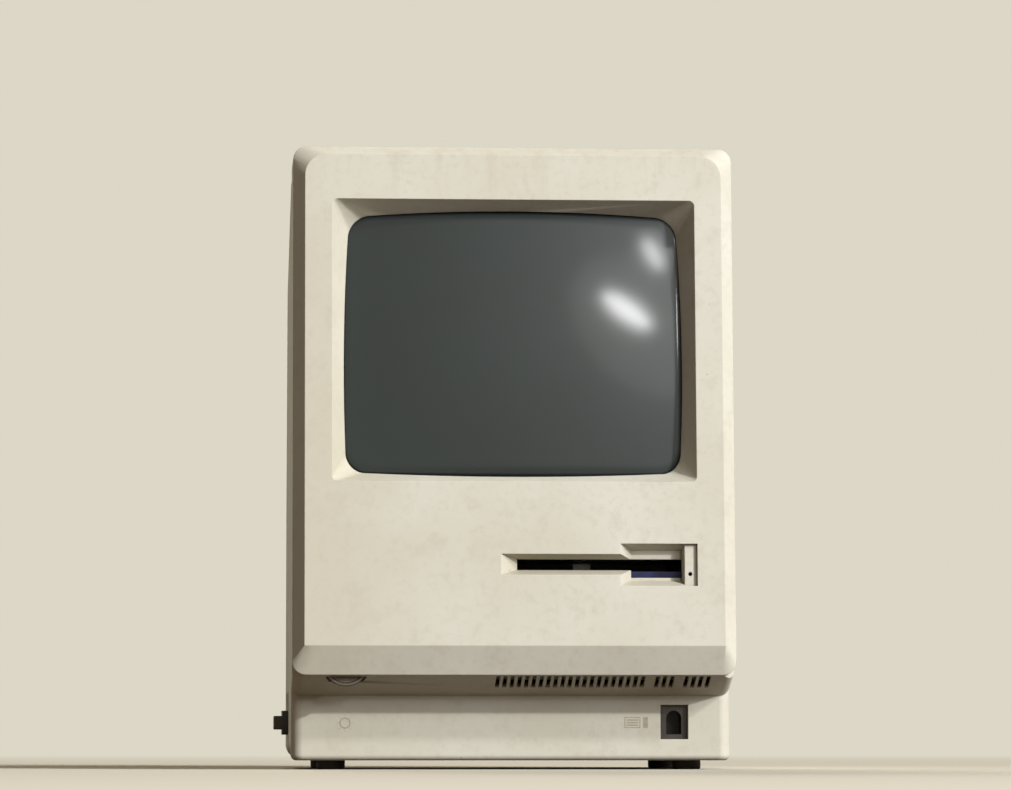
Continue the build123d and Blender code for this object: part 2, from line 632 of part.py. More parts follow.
with BuildPart() as tube_band:
    inner_wide, inner_high = tube_width + 2 * fit, tube_height + 2 * fit
    with BuildSketch(on_tube(band_front)):
        RectangleRounded(inner_wide + 2 * band_thick, inner_high + 2 * band_thick, tube_corner + band_thick)
        RectangleRounded(inner_wide, inner_high, tube_corner, mode=Mode.SUBTRACT)
    extrude(amount=-(band_back - band_front))
    with BuildSketch(on_tube(lug_depth)):
        with GridLocations(2 * tube_screw_x - lug_reach, 2 * (tube_screw_v - lug_reach), 2, 2):
            Rectangle(lug_reach * 2, lug_reach * 3)
        RectangleRounded(inner_wide, inner_high, tube_corner, mode=Mode.SUBTRACT)
        with Locations(*[(x, v) for x in both(tube_screw_x) for v in both(tube_screw_v)]):
            Circle(bore_radius, mode=Mode.SUBTRACT)
    extrude(amount=-lug_thick)
finish(tube_band, "tube_band")

with BuildPart() as tube_screws:
    with BuildSketch(on_tube(lug_depth + lug_thick)):
        with Locations(*[(x, v) for x in both(tube_screw_x) for v in both(tube_screw_v)]):
            Circle(screw_head)
    extrude(amount=-head_height)
    with BuildSketch(on_tube(lug_depth + lug_thick)):
        with Locations(*[(x, v) for x in both(tube_screw_x) for v in both(tube_screw_v)]):
            Circle(screw_radius)
    extrude(amount=screw_bite)
finish(tube_screws, "tube_screws")

neck_fit = tube_neck + fit
yoke_coils = tube_ring([
    (yoke_front, yoke_mouth), (tube_cone + yoke_flange, neck_fit), (yoke_back, neck_fit),
    (yoke_back, yoke_inner + yoke_flange), (yoke_back - yoke_flange, yoke_inner + yoke_flange),
    (yoke_back - yoke_flange, yoke_inner), (yoke_front + yoke_flange, yoke_inner),
    (yoke_front + yoke_flange, yoke_outer), (yoke_front, yoke_outer)])
finish(yoke_coils, "yoke_coils")

yoke_core = tube_ring([
    (yoke_front + yoke_flange + fit, yoke_inner + fit), (yoke_back - yoke_flange - fit, yoke_inner + fit),
    (yoke_back - yoke_flange - fit, yoke_outer - yoke_flange),
    (yoke_front + yoke_flange + fit, yoke_outer)])
finish(yoke_core, "yoke_core")

centring_rings = tube_ring([
    (yoke_back, neck_fit), (yoke_back + yoke_clamp, neck_fit),
    (yoke_back + yoke_clamp, neck_fit + yoke_clamp), (yoke_back, neck_fit + yoke_clamp)])
finish(centring_rings, "centring_rings")

tube_socket = tube_ring([
    (tube_length - socket_grip, neck_fit), (tube_length - socket_grip, socket_radius),
    (tube_length + socket_depth, socket_radius), (tube_length + socket_depth, 0),
    (tube_length + fit, 0), (tube_length + fit, neck_fit)])
finish(tube_socket, "tube_socket")

with BuildPart() as neck_board:
    with BuildSketch(on_tube(tube_length + socket_depth)):
        RectangleRounded(neck_board_width, neck_board_height, board_thick)
    extrude(amount=-board_thick)
finish(neck_board, "neck_board")


# ================= Chassis and boards =================

rear_tab_z = (chassis_low, chassis_low + tab_height - wall)
front_tab_z = (chassis_screw_z - tab_height / 2, chassis_screw_z + tab_height / 2)
board_top = ledge_z + board_thick

# The chassis: a folded steel sheet, the same section all the way back, with tabs for the screws.
with BuildPart() as chassis:
    with BuildSketch(at_depth(chassis_front)):
        panel((-chassis_half - sheet, -chassis_half), (chassis_low, chassis_high))
        panel((chassis_half, chassis_half + sheet), (chassis_low, chassis_right_high))
        panel(both(chassis_half), (shelf_z, shelf_z + sheet))
        for x in (-chassis_half, chassis_half - ledge_width):
            panel((x, x + ledge_width), (ledge_z - sheet, ledge_z))
    extrude(amount=-(chassis_back - chassis_front))
    with BuildSketch(Plane.YZ.offset(chassis_half - sheet)):
        with BuildLine():
            Polyline((chassis_front + tab_width, chassis_right_high), (chassis_back, shelf_z + tab_height),
                     (chassis_back, chassis_right_high), close=True)
        make_face()
    extrude(amount=sheet * 3, mode=Mode.SUBTRACT)
    with BuildSketch(Plane.YZ.offset(-chassis_half)):
        panel((analog_front + tab_height * 2, analog_back - tab_height * 2),
              (shelf_z + tab_height * 3, chassis_high - tab_height * 2), rear_radius)
        panel((switch_y - switch_half_length, switch_y + switch_half_length),
              (ledge_z + fit, ledge_z + 2 * switch_half_height))
    extrude(amount=-sheet, mode=Mode.SUBTRACT)
    for side in (-1, 1):
        inner_edge, outer_edge = side * (chassis_half - tab_width), side * (chassis_half + sheet)
        tab_x = (min(inner_edge, outer_edge), max(inner_edge, outer_edge))
        block(tab_x, (chassis_front, chassis_front + sheet), front_tab_z)
        block(tab_x, (chassis_back - sheet, chassis_back), rear_tab_z)
    for x in both(chassis_screw_x):
        rod((x, chassis_front, chassis_screw_z), BACKWARD, bore_radius, sheet, Mode.SUBTRACT)
    for x in both(foot_screw_x):
        rod((x, chassis_back, foot_screw_z), FORWARD, bore_radius, sheet, Mode.SUBTRACT)
    # Raised seats carry the analog board.
    for y in (analog_front + tab_height, analog_back - tab_height):
        for z in (analog_low + tab_height, analog_high - tab_height):
            rod((-chassis_half, y, z), RIGHT, wall, analog_gap)
finish(chassis, "chassis")

with BuildPart() as chassis_screws:
    for x in both(chassis_screw_x):
        rod((x, chassis_front + sheet, chassis_screw_z), BACKWARD, screw_head, head_height)
        rod((x, chassis_front + sheet, chassis_screw_z), FORWARD, screw_radius, screw_bite)
finish(chassis_screws, "chassis_screws")

with BuildPart() as case_screws:
    for x in both(handle_screw_x):
        rod((x, handle_front, handle_screw_z), BACKWARD, screw_head, head_height)
        rod((x, handle_front, handle_screw_z), FORWARD, screw_radius, screw_bite)
    for x in both(foot_screw_x):
        rod((x, case_depth - foot_screw_sink, foot_screw_z), BACKWARD, screw_head, head_height)
        rod((x, case_depth - foot_screw_sink, foot_screw_z), FORWARD, screw_radius, screw_bite)
finish(case_screws, "case_screws")

# The analog board stands on edge beside the tube, with a tongue forward to the brightness control.
board_left = -chassis_half + analog_gap
board_face = board_left + board_thick
with BuildPart() as analog_board:
    with BuildSketch(Plane.YZ.offset(board_left)):
        panel((analog_front, analog_back), (analog_low, analog_high))
        panel((tongue_front, analog_front), (analog_low, tongue_high))
    extrude(amount=board_thick)
finish(analog_board, "analog_board")


def on_analog(shares):
    """The depth and height of a place on the analog board, from its shares of the board's size."""
    return (analog_front + shares[0] * (analog_back - analog_front),
            analog_low + shares[1] * (analog_high - analog_low))


flyback_y, flyback_z = on_analog(flyback_place)
choke_y, choke_z = on_analog(choke_place)
sink_y, sink_low = on_analog(sink_place)

with BuildPart() as flyback_transformer:
    with BuildSketch(Plane.XY.offset(flyback_z - flyback_half)):
        with Locations((board_face + flyback_reach / 2, flyback_y)):
            Circle(flyback_reach / 2)
    extrude(amount=2 * flyback_half)
    with BuildSketch(Plane.YZ.offset(board_face)):
        panel((flyback_y - flyback_reach, flyback_y),
              (flyback_z - flyback_half - core_bar, flyback_z + flyback_half + core_bar))
        panel((flyback_y - flyback_reach + core_bar, flyback_y),
              (flyback_z - flyback_half, flyback_z + flyback_half), mode=Mode.SUBTRACT)
    extrude(amount=flyback_reach / 2)
finish(flyback_transformer, "flyback_transformer")

with BuildPart() as power_transformer:
    block((board_face, board_face + choke_high), (choke_y - choke_half, choke_y + choke_half),
          (choke_z - choke_half, choke_z + choke_half))
    chamfer(power_transformer.faces().sort_by(Axis.X)[-1].edges(), sheet)
finish(power_transformer, "power_transformer")

with BuildPart() as capacitors:
    for places, (radius, height) in ((large_places, large_capacitor), (small_places, small_capacitor)):
        for place in places:
            rod((board_face, *on_analog(place)), RIGHT, radius, height)
finish(capacitors, "capacitors")

with BuildPart() as heat_sink:
    with BuildSketch(Plane.XY.offset(sink_low)):
        panel((board_face, board_face + sink_high), (sink_y, sink_y + sheet * 2))
        for i in range(sink_fins):
            fin_x = board_face + sink_pitch * (i + 1)
            panel((fin_x, fin_x + sheet), (sink_y, sink_y + sink_reach))
    extrude(amount=sink_length)
finish(heat_sink, "heat_sink")

with BuildPart() as power_transistors:
    for i in (1, 2):
        z = sink_low + sink_length * i / 3
        block((board_face + sheet, board_face + sink_high - sheet), (sink_y - core_bar / 2, sink_y),
              (z - core_bar, z + core_bar))
finish(power_transistors, "power_transistors")

# The brightness control, with the knob that reaches out under the chin.
knob_back = knob_front + knob_thick
with BuildPart() as brightness_knob:
    with BuildSketch(at_depth(knob_front)):
        with Locations((knob_x, knob_z)):
            Circle(knob_radius)
    extrude(amount=-knob_thick)
    with BuildSketch(at_depth(knob_back)):
        with Locations((knob_x, knob_z)):
            Circle(knob_stem)
    extrude(amount=-(pot_back - wall - knob_back))
finish(brightness_knob, "brightness_knob")

with BuildPart() as brightness_control:
    rod((knob_x, pot_front, knob_z), BACKWARD, pot_radius, pot_back - pot_front)
    rod((knob_x, pot_front, knob_z), FORWARD, knob_stem + wall / 2, pot_front - knob_back - running)
    block((board_face, knob_x), (pot_front, pot_back), (knob_z - pot_radius / 2, knob_z + pot_radius / 2))
    rod((knob_x, knob_back, knob_z), BACKWARD, knob_stem + bearing, pot_back - sheet - knob_back,
        Mode.SUBTRACT)
finish(brightness_control, "brightness_control")

with BuildPart() as loudspeaker:
    speaker_plane = front.offset(-speaker_seat)
    with BuildSketch(speaker_plane):
        with Locations((speaker_x, up_face(speaker_z))):
            Circle(speaker_radius)
    with BuildSketch(speaker_plane.offset(-speaker_depth * 2 / 3)):
        with Locations((speaker_x, up_face(speaker_z))):
            Circle(magnet_radius)
    loft()
    with BuildSketch(speaker_plane.offset(-speaker_depth * 2 / 3)):
        with Locations((speaker_x, up_face(speaker_z))):
            Circle(magnet_radius)
    extrude(amount=-speaker_depth / 3)
finish(loudspeaker, "loudspeaker")


# ================= Mains parts at the back =================

with BuildPart() as mains_inlet:
    with BuildSketch(at_depth(case_depth)):
        panel((power_x - inlet_half_width, power_x + inlet_half_width),
              (inlet_z - inlet_half_height, inlet_z + inlet_half_height))
    extrude(amount=case_depth - inlet_back)
    with BuildSketch(at_depth(back_inner)):
        panel((power_x - inlet_half_width - wall, power_x + inlet_half_width + wall),
              (inlet_z - inlet_half_height - wall / 2, inlet_z + inlet_half_height + wall / 2))
    extrude(amount=flange)
    with BuildSketch(at_depth(case_depth)) as inlet_mouth:
        panel((power_x - inlet_half_width + inlet_wall, power_x + inlet_half_width - inlet_wall),
              (inlet_z - inlet_half_height + inlet_wall, inlet_z + inlet_half_height - inlet_wall))
        chamfer(inlet_mouth.vertices().group_by(Axis.Y)[-1], wall)
    extrude(amount=inlet_deep, mode=Mode.SUBTRACT)
finish(mains_inlet, "mains_inlet")

with BuildPart() as inlet_pins:
    with BuildSketch(at_depth(case_depth - inlet_deep)):
        outer_pins = [(power_x + x, inlet_z + inlet_pin_low) for x in both(inlet_pin_pitch)]
        with Locations(*outer_pins, (power_x, inlet_z + inlet_pin_high)):
            Rectangle(inlet_pin_width, inlet_pin_height)
    extrude(amount=-(inlet_deep - inlet_pin_sink))
finish(inlet_pins, "inlet_pins")

rocker_y = case_depth - rocker_sink
tilted = Plane(origin=(power_x, rocker_y, rocker_z), z_dir=RIGHT,
               x_dir=(0, cos(radians(rocker_tilt)), sin(radians(rocker_tilt))))
with BuildPart() as power_rocker:
    with BuildSketch(tilted):
        with BuildLine():
            Polyline((-rocker_web, -rocker_web), (-rocker_web, rocker_web), (0, rocker_half),
                     (rocker_face, rocker_half), (rocker_face - sheet, 0), (rocker_face, -rocker_half),
                     (0, -rocker_half), close=True)
        make_face()
    extrude(amount=rocker_half_width - rocker_wall - running, both=True)
    with BuildSketch(tilted):
        Circle(rocker_pin)
    extrude(amount=rocker_half_width - rocker_wall / 2, both=True)
finish(power_rocker, "power_rocker")

with BuildPart() as power_switch:
    with BuildSketch(at_depth(case_depth)):
        panel((power_x - rocker_half_width, power_x + rocker_half_width),
              (rocker_z - rocker_half_height, rocker_z + rocker_half_height))
    extrude(amount=case_depth - inlet_back)
    with BuildSketch(at_depth(back_inner)):
        panel((power_x - rocker_half_width - wall, power_x + rocker_half_width + wall),
              (rocker_z - rocker_half_height - wall / 2, rocker_z + rocker_half_height + wall / 2))
    extrude(amount=flange)
    with BuildSketch(at_depth(case_depth)):
        panel((power_x - rocker_half_width + rocker_wall, power_x + rocker_half_width - rocker_wall),
              (rocker_z - rocker_half_height + rocker_wall, rocker_z + rocker_half_height - rocker_wall))
    extrude(amount=rocker_sink + rocker_web + running * 2, mode=Mode.SUBTRACT)
    rod((power_x - rocker_half_width + rocker_wall / 4, rocker_y, rocker_z), RIGHT, rocker_pin + bearing,
        2 * rocker_half_width - rocker_wall / 2, Mode.SUBTRACT)
finish(power_switch, "power_switch")

holder_front = back_inner - flange - 2 * battery_radius - sheet
with BuildPart() as battery_holder:
    with BuildSketch(at_depth(back_inner)):
        panel((power_x - door_half_width - sheet, power_x + door_half_width + sheet),
              (battery_z - door_half_height - sheet, battery_z + door_half_height + sheet))
    extrude(amount=flange)
    with BuildSketch(at_depth(back_inner)):
        panel((power_x - door_half_width, power_x + door_half_width),
              (battery_z - door_half_height, battery_z + door_half_height))
    extrude(amount=back_inner - holder_front)
    with BuildSketch(at_depth(back_inner)):
        panel((power_x - battery_length / 2 - fit, power_x + battery_length / 2 + fit),
              (battery_z - battery_radius - fit, battery_z + battery_radius + fit))
    extrude(amount=back_inner - holder_front - sheet / 2, mode=Mode.SUBTRACT)
finish(battery_holder, "battery_holder")

with BuildPart() as battery:
    rod((power_x - battery_length / 2, holder_front + sheet / 2 + fit + battery_radius, battery_z), RIGHT,
        battery_radius, battery_length)
finish(battery, "battery")

with BuildPart() as battery_door:
    with BuildSketch(at_depth(case_depth)):
        panel((power_x - door_half_width + running, power_x + door_half_width - running),
              (battery_z - door_half_height + running, battery_z + door_half_height - running), sheet)
    extrude(amount=wall - running)
    with BuildSketch(at_depth(case_depth)):
        panel((power_x - door_grip, power_x + door_grip), (battery_z - sheet, battery_z + sheet))
    extrude(amount=sheet, mode=Mode.SUBTRACT)
finish(battery_door, "battery_door")


# ================= Logic board and ports =================

with BuildPart() as logic_board:
    with BuildSketch(Plane.XY.offset(ledge_z)):
        panel(both(board_half), (board_front, board_back))
    extrude(amount=board_thick)
finish(logic_board, "logic_board")


def chips(name, places, length, width, height):
    """A group of like chips on the logic board, lying across it."""
    with BuildPart() as group:
        with BuildSketch(Plane.XY.offset(board_top)):
            with Locations(*places):
                Rectangle(length, width)
        extrude(amount=height)
    finish(group, name)


chips("processor", [(processor_x, processor_y)], *processor_size)
chips("rom_chips", [(rom_x, processor_y + side * rom_pitch / 2) for side in (-1, 1)], *rom_size)
memory_x, columns = board_half - memory_side, 8
memory_places = [(memory_x * (2 * column / (columns - 1) - 1), memory_y + memory_row * row)
                 for row in range(2) for column in range(columns)]
chips("memory_chips", memory_places, *memory_size)
interface_places = [(interface_x + interface_pitch * i, interface_y) for i in range(3)]
chips("interface_chips", interface_places, *interface_size)

shield_y = back_inner - shield_thick
flange_y = shield_y - port_flange
shield_x = (audio_x - port_flange_height, mouse_x + small_port / 2 + port_ear)
with BuildPart() as port_shield:
    with BuildSketch(at_depth(back_inner)):
        panel(shield_x, (shield_low, shelf_z - wall))
        for x, width in ports.values():
            d_shell(x, width, fit * 4, Mode.SUBTRACT)
        with Locations(*[(x, port_z) for x in post_places]):
            Circle(jack_post_radius + running, mode=Mode.SUBTRACT)
        with Locations((audio_x, audio_z)):
            Circle(audio_radius + running, mode=Mode.SUBTRACT)
    extrude(amount=shield_thick)
    block(shield_x, (shield_front, back_inner), (shield_low - shield_thick, shield_low))
finish(port_shield, "port_shield")

for name, (x, width) in ports.items():
    with BuildPart() as port:
        with BuildSketch(at_depth(case_depth + port_stand)):
            d_shell(x, width)
        extrude(amount=case_depth + port_stand - flange_y)
        with BuildSketch(at_depth(shield_y)):
            panel((x - width / 2 - port_ear, x + width / 2 + port_ear),
                  (port_z - port_flange_height / 2, port_z + port_flange_height / 2))
        extrude(amount=port_flange)
        block((x - width / 2 - wall, x + width / 2 + wall), (board_back - port_foot, flange_y),
              (board_top, port_z + port_height / 2))
    finish(port, name)

with BuildPart() as port_posts:
    with BuildSketch(at_depth(shield_y + jack_post_length)):
        with Locations(*[(x, port_z) for x in post_places]):
            RegularPolygon(jack_post_radius, 6)
    extrude(amount=jack_post_length)
finish(port_posts, "port_posts")

with BuildPart() as audio_jack:
    rod((audio_x, case_depth, audio_z), FORWARD, audio_radius, case_depth - flange_y)
    block((audio_x - audio_body, audio_x + audio_body), (board_back - port_foot, shield_y),
          (board_top, audio_z + audio_body))
    rod((audio_x, case_depth, audio_z), FORWARD, audio_bore, audio_bore_length, Mode.SUBTRACT)
finish(audio_jack, "audio_jack")

jack_face = base_setback + wall
with BuildPart() as keyboard_jack:
    with BuildSketch(at_depth(jack_face)):
        panel((jack_x - jack_width / 2 - sheet, jack_x + jack_width / 2 + sheet),
              (jack_z - jack_height / 2 - sheet, jack_z + jack_height / 2 + sheet))
    extrude(amount=-(board_front - fit - jack_face))
    with BuildSketch(at_depth(jack_face)):
        panel((jack_x - socket_wide / 2, jack_x + socket_wide / 2), (socket_low, socket_low + socket_high))
        panel((jack_x - socket_key / 2, jack_x + socket_key / 2),
              (socket_low, socket_low + socket_high + socket_key_high))
    extrude(amount=-socket_deep, mode=Mode.SUBTRACT)
finish(keyboard_jack, "keyboard_jack")


# ================= Disk drive =================

tub_floor = drive_low + drive_wall
disk_seat = slot_low - cage_drop            # the disk's lower face once it has dropped
rotor_low = disk_seat - hub_high - rotor_thick
carriage_back = stepper_plate - running * 3
carriage_front = carriage_back - carriage_length
lug_front = carriage_front - track_travel - running - wall
lever_low = release_z - lever_high / 2
lever_x = (release_x - lever_width / 2, release_x + lever_width / 2)
with BuildPart() as drive_chassis:
    with BuildSketch(at_depth(drive_front)):
        panel((drive_left, drive_right), (drive_low, drive_high))
        panel((drive_left + drive_wall, drive_right - drive_wall), (tub_floor, drive_high + wall),
              mode=Mode.SUBTRACT)
    extrude(amount=-(drive_back - drive_front))
    # A ledge inside the right wall carries the release lever over its whole stroke.
    block((lever_x[0], drive_right), (drive_front, lever_front + lever_length + eject_travel),
          (lever_low - running - drive_wall, lever_low - running))
    # The bearing of the spindle, and the brackets of the lead screw and the guide rod.
    rod((spindle_x, spindle_y, tub_floor), UP, spindle_shaft + wall, spindle_boss)
    rod((spindle_x, spindle_y, drive_low), UP, spindle_shaft + bearing, wall * 3, Mode.SUBTRACT)
    block((guide_x - wall, screw_line_x + wall), (lug_front, lug_front + wall),
          (tub_floor, screw_line_z + wall))
    block((guide_x - wall, screw_line_x + stepper_radius), (stepper_plate, stepper_plate + drive_wall),
          (tub_floor, screw_line_z + stepper_radius))
    for x in (screw_line_x, guide_x):
        rod((x, lug_front, screw_line_z), BACKWARD, screw_line_radius + bearing, drive_back - lug_front,
            Mode.SUBTRACT)
finish(drive_chassis, "drive_chassis")

with BuildPart() as drive_bracket:
    with BuildSketch(at_depth(board_front)):
        for x in (drive_left - sheet, drive_right):
            panel((x, x + sheet), (shelf_z + sheet, bracket_high))
        panel((drive_left, drive_right), (drive_low - sheet, drive_low))
        panel((drive_left - bracket_foot, drive_left), (shelf_z + sheet, shelf_z + 2 * sheet))
        panel((drive_right, chassis_half - wall), (shelf_z + sheet, shelf_z + 2 * sheet))
    extrude(amount=-(bracket_back - board_front))
    with BuildSketch(Plane.YZ.offset(drive_left - bracket_foot)):
        panel((board_front + tab_height, bracket_back - tab_height), (shelf_z + tab_height, drive_low - wall))
    extrude(amount=case_width, mode=Mode.SUBTRACT)
finish(drive_bracket, "drive_bracket")

with BuildPart() as disk_cage:
    with BuildSketch(at_depth(cage_front)):
        panel((cage_left, cage_right), (slot_low - lip_drop, cage_top))
        panel((cage_left + cage_sheet, cage_right - cage_sheet),
              (slot_low - lip_drop, cage_top - cage_sheet), mode=Mode.SUBTRACT)
        for lip_x in ((cage_left, cage_left + cage_lip), (cage_right - cage_lip, cage_right)):
            panel(lip_x, (slot_low - lip_drop, slot_low - lip_drop + cage_sheet))
    extrude(amount=-(cage_back - cage_front))
    block((notch_left, cage_right), (cage_front, cage_front + cage_sheet),
          (window_low - running, slot_low - running))
finish(disk_cage, "disk_cage")

with BuildPart() as spindle_rotor:
    rod((spindle_x, spindle_y, rotor_low), UP, spindle_radius, rotor_thick)
    rod((spindle_x, spindle_y, rotor_low + rotor_thick), UP, hub_radius, hub_high)
    rod((spindle_x, spindle_y, rotor_low), (0, 0, -1), spindle_shaft, rotor_low - drive_low)
finish(spindle_rotor, "spindle_rotor")

with BuildPart() as guide_rod:
    rod((guide_x, lug_front, screw_line_z), BACKWARD, screw_line_radius,
        stepper_plate + drive_wall - lug_front)
finish(guide_rod, "guide_rod")

with BuildPart() as lead_screw:
    rod((screw_line_x, lug_front + fit, screw_line_z), BACKWARD, screw_line_radius,
        stepper_plate + wall * 2 - lug_front)
finish(lead_screw, "lead_screw")

with BuildPart() as stepper_motor:
    start_y = stepper_plate + drive_wall
    rod((screw_line_x, start_y, screw_line_z), BACKWARD, stepper_radius, stepper_length)
    rod((screw_line_x, start_y, screw_line_z), BACKWARD, screw_line_radius + bearing, stepper_length / 2,
        Mode.SUBTRACT)
finish(stepper_motor, "stepper_motor")

with BuildPart() as head_carriage:
    block((spindle_x - arm_half, screw_line_x + wall * 1.5), (carriage_front, carriage_back),
          (screw_line_z - wall, screw_line_z + wall))
    block((spindle_x - arm_half, spindle_x + arm_half), (head_y - arm_half, carriage_back),
          (screw_line_z - wall / 2, screw_line_z + wall))
    block((spindle_x - arm_half, spindle_x + arm_half), (carriage_back - wall, carriage_back),
          (screw_line_z, cage_top + sheet + wall))
    block((spindle_x - arm_half, spindle_x + arm_half), (head_y - arm_half, carriage_back),
          (cage_top + sheet, cage_top + sheet + wall / 2))
    rod((spindle_x, head_y, screw_line_z + wall), UP, head_radius, disk_seat - screw_line_z - wall)
    for x in (screw_line_x, guide_x):
        rod((x, carriage_front, screw_line_z), BACKWARD, screw_line_radius + bearing, carriage_length,
            Mode.SUBTRACT)
finish(head_carriage, "head_carriage")

with BuildPart() as drive_board:
    with BuildSketch(Plane.XY.offset(drive_high)):
        panel((drive_left, drive_right), (cage_back - wall, drive_back))
    extrude(amount=board_thick)
finish(drive_board, "drive_board")

with BuildPart() as eject_motor:
    block((drive_left + drive_wall, drive_left + drive_wall + eject_wide),
          (eject_front, drive_back - wall), (tub_floor, tub_floor + eject_high))
finish(eject_motor, "eject_motor")

with BuildPart() as eject_lever:
    block(lever_x, (lever_front, lever_front + lever_length), (lever_low, lever_low + lever_high))
finish(eject_lever, "eject_lever")


# ================= Programmer's switch =================

with BuildPart() as switch_frame:
    with BuildSketch(Plane.YZ.offset(-rear_half)):
        panel((switch_y - switch_half_length, switch_y + switch_half_length),
              (switch_z - switch_half_height, switch_z + switch_half_height), sheet)
        for side in (-1, 1):
            with Locations((switch_y + side * button_y, switch_z)):
                Rectangle(2 * (button_half + running), 2 * (button_half + running), mode=Mode.SUBTRACT)
    extrude(amount=-switch_stand)
    # Two tongues reach through the vent slots and hold the frame.
    for side in (-1, 1):
        y = switch_y + side * (button_y + side_vent_pitch)
        block((-rear_half, -rear_half + wall * 2), (y - push_rod_half, y + push_rod_half),
              (switch_z - button_half, switch_z + button_half))
finish(switch_frame, "switch_frame")

for name, side in (("interrupt_button", 1), ("reset_button", -1)):
    y = switch_y + side * button_y
    with BuildPart() as button:
        with BuildSketch(Plane.YZ.offset(-rear_half - button_reach)):
            panel((y - button_half, y + button_half), (switch_z - button_half, switch_z + button_half), sheet)
        extrude(amount=button_reach - button_travel - running)
        block((-rear_half - button_travel - running, -push_rod_tip), (y - push_rod_half, y + push_rod_half),
              (board_top + running * 4, switch_z + button_half - sheet))
    finish(button, name)

with BuildPart() as board_switches:
    for side in (-1, 1):
        y = switch_y + side * button_y
        block((-push_rod_tip + button_travel + running, -push_rod_tip + button_travel + wall * 2),
              (y - button_half, y + button_half), (board_top, board_top + wall * 1.5))
finish(board_switches, "board_switches")


# ================= Writing =================

# The programmer's switch stands out on one side only, so the part's frame, at the middle of the
# bounding box on the table, lies a little to the left of the case's middle plane.
side_shift = (rear_half + button_reach - half) / 2
frame = Location((side_shift, -(case_depth + port_stand) / 2, 0))

os.makedirs("parts", exist_ok=True)
for piece in pieces:
    name = piece.label
    placed = piece.moved(frame)
    placed.label = name
    export_step(placed, f"parts/{name}.step")
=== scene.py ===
import json
import math

import bmesh
import bpy
from mathutils import Matrix, Vector

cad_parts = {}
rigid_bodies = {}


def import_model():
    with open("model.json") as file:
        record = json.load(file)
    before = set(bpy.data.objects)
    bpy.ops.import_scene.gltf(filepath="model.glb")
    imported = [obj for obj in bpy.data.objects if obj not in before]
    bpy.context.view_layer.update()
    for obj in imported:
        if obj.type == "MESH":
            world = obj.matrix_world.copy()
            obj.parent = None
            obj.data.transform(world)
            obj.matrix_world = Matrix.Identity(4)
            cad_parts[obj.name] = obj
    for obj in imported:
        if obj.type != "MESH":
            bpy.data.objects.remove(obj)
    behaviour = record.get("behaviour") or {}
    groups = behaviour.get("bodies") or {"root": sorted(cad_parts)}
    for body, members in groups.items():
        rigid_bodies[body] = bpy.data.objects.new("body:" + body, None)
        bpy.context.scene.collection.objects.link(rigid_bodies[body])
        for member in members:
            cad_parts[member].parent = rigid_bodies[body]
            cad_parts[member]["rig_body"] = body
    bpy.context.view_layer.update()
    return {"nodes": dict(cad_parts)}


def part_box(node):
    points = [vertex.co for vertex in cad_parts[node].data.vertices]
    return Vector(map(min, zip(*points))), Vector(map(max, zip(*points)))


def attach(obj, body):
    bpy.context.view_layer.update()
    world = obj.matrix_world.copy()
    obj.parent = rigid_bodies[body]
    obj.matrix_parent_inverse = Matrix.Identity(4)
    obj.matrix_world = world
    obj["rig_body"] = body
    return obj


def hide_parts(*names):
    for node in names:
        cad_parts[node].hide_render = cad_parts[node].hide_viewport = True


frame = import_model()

# ---- Chassis ----
# A folded frame of zinc-plated sheet steel, punched flat and bent, with the bracket that hangs the disk
# drive, the shield round the ports and the band round the tube, which are of the same sheet. Two screws
# fix it to the bezel, and the two at the foot of the case go into its back.
MM = 0.001
bezel_low, bezel_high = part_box("front_bezel")


def linear(code):
    """An sRGB hex colour as the linear red, green, blue and alpha that a socket takes."""
    parts = [int(code[i:i + 2], 16) / 255 for i in (0, 2, 4)]
    return (*[c / 12.92 if c <= 0.04045 else ((c + 0.055) / 1.055) ** 2.4 for c in parts], 1.0)


def add_node(tree, kind, values=None, links=None, **settings):
    """Adds a node, with its own settings, the values on its sockets and the links into it."""
    made = tree.nodes.new("ShaderNode" + kind)
    for name, value in settings.items():
        setattr(made, name, value)
    for socket, value in (values or {}).items():
        made.inputs[socket].default_value = value
    for socket, source in (links or {}).items():
        tree.links.new(source, made.inputs[socket])
    return made


def new_material(name, **values):
    """A material with one Principled shader, whose constants are set on its own sockets."""
    made = bpy.data.materials.new(name)
    made.use_nodes = True
    made.node_tree.nodes.clear()
    shader = add_node(made.node_tree, "BsdfPrincipled", {k.replace("_", " "): v for k, v in values.items()})
    add_node(made.node_tree, "OutputMaterial", links={"Surface": shader.outputs["BSDF"]})
    return made, made.node_tree, shader


def per_metre(size_mm):
    """The scale of a pattern on Object coordinates whose features are that many millimetres wide."""
    return 1 / (size_mm * MM)


def blend_tones(tree, factor, under, over):
    """One colour laid over another along a factor; each is a hex colour or a node's output."""
    values, links = {}, {"Factor": factor}
    for socket, tone in (("A", under), ("B", over)):
        if isinstance(tone, str):
            values[socket] = linear(tone)
        else:
            links[socket] = tone
    return add_node(tree, "Mix", values, links, data_type="RGBA").outputs[2]


def span(tree, source, low, high, to_low=0.0, to_high=1.0):
    """A pattern's range stretched to another one, and held at its ends."""
    ends = {"From Min": low, "From Max": high, "To Min": to_low, "To Max": to_high}
    return add_node(tree, "MapRange", ends, {"Value": source}).outputs["Result"]


def patches(tree, place, size_mm, detail=5.0, rough=0.55):
    """Soft random patches of a size in millimetres."""
    return add_node(tree, "TexNoise", {"Scale": per_metre(size_mm), "Detail": detail, "Roughness": rough},
                    {"Vector": place}).outputs["Fac"]


def relief(tree, shader, source, height_mm, strength=0.5, **links):
    """A pattern as a relief of the surface, in real millimetres."""
    bump = add_node(tree, "Bump", {"Strength": strength, "Distance": height_mm * MM},
                    {"Height": source, **links})
    tree.links.new(bump.outputs["Normal"], shader.inputs["Normal"])


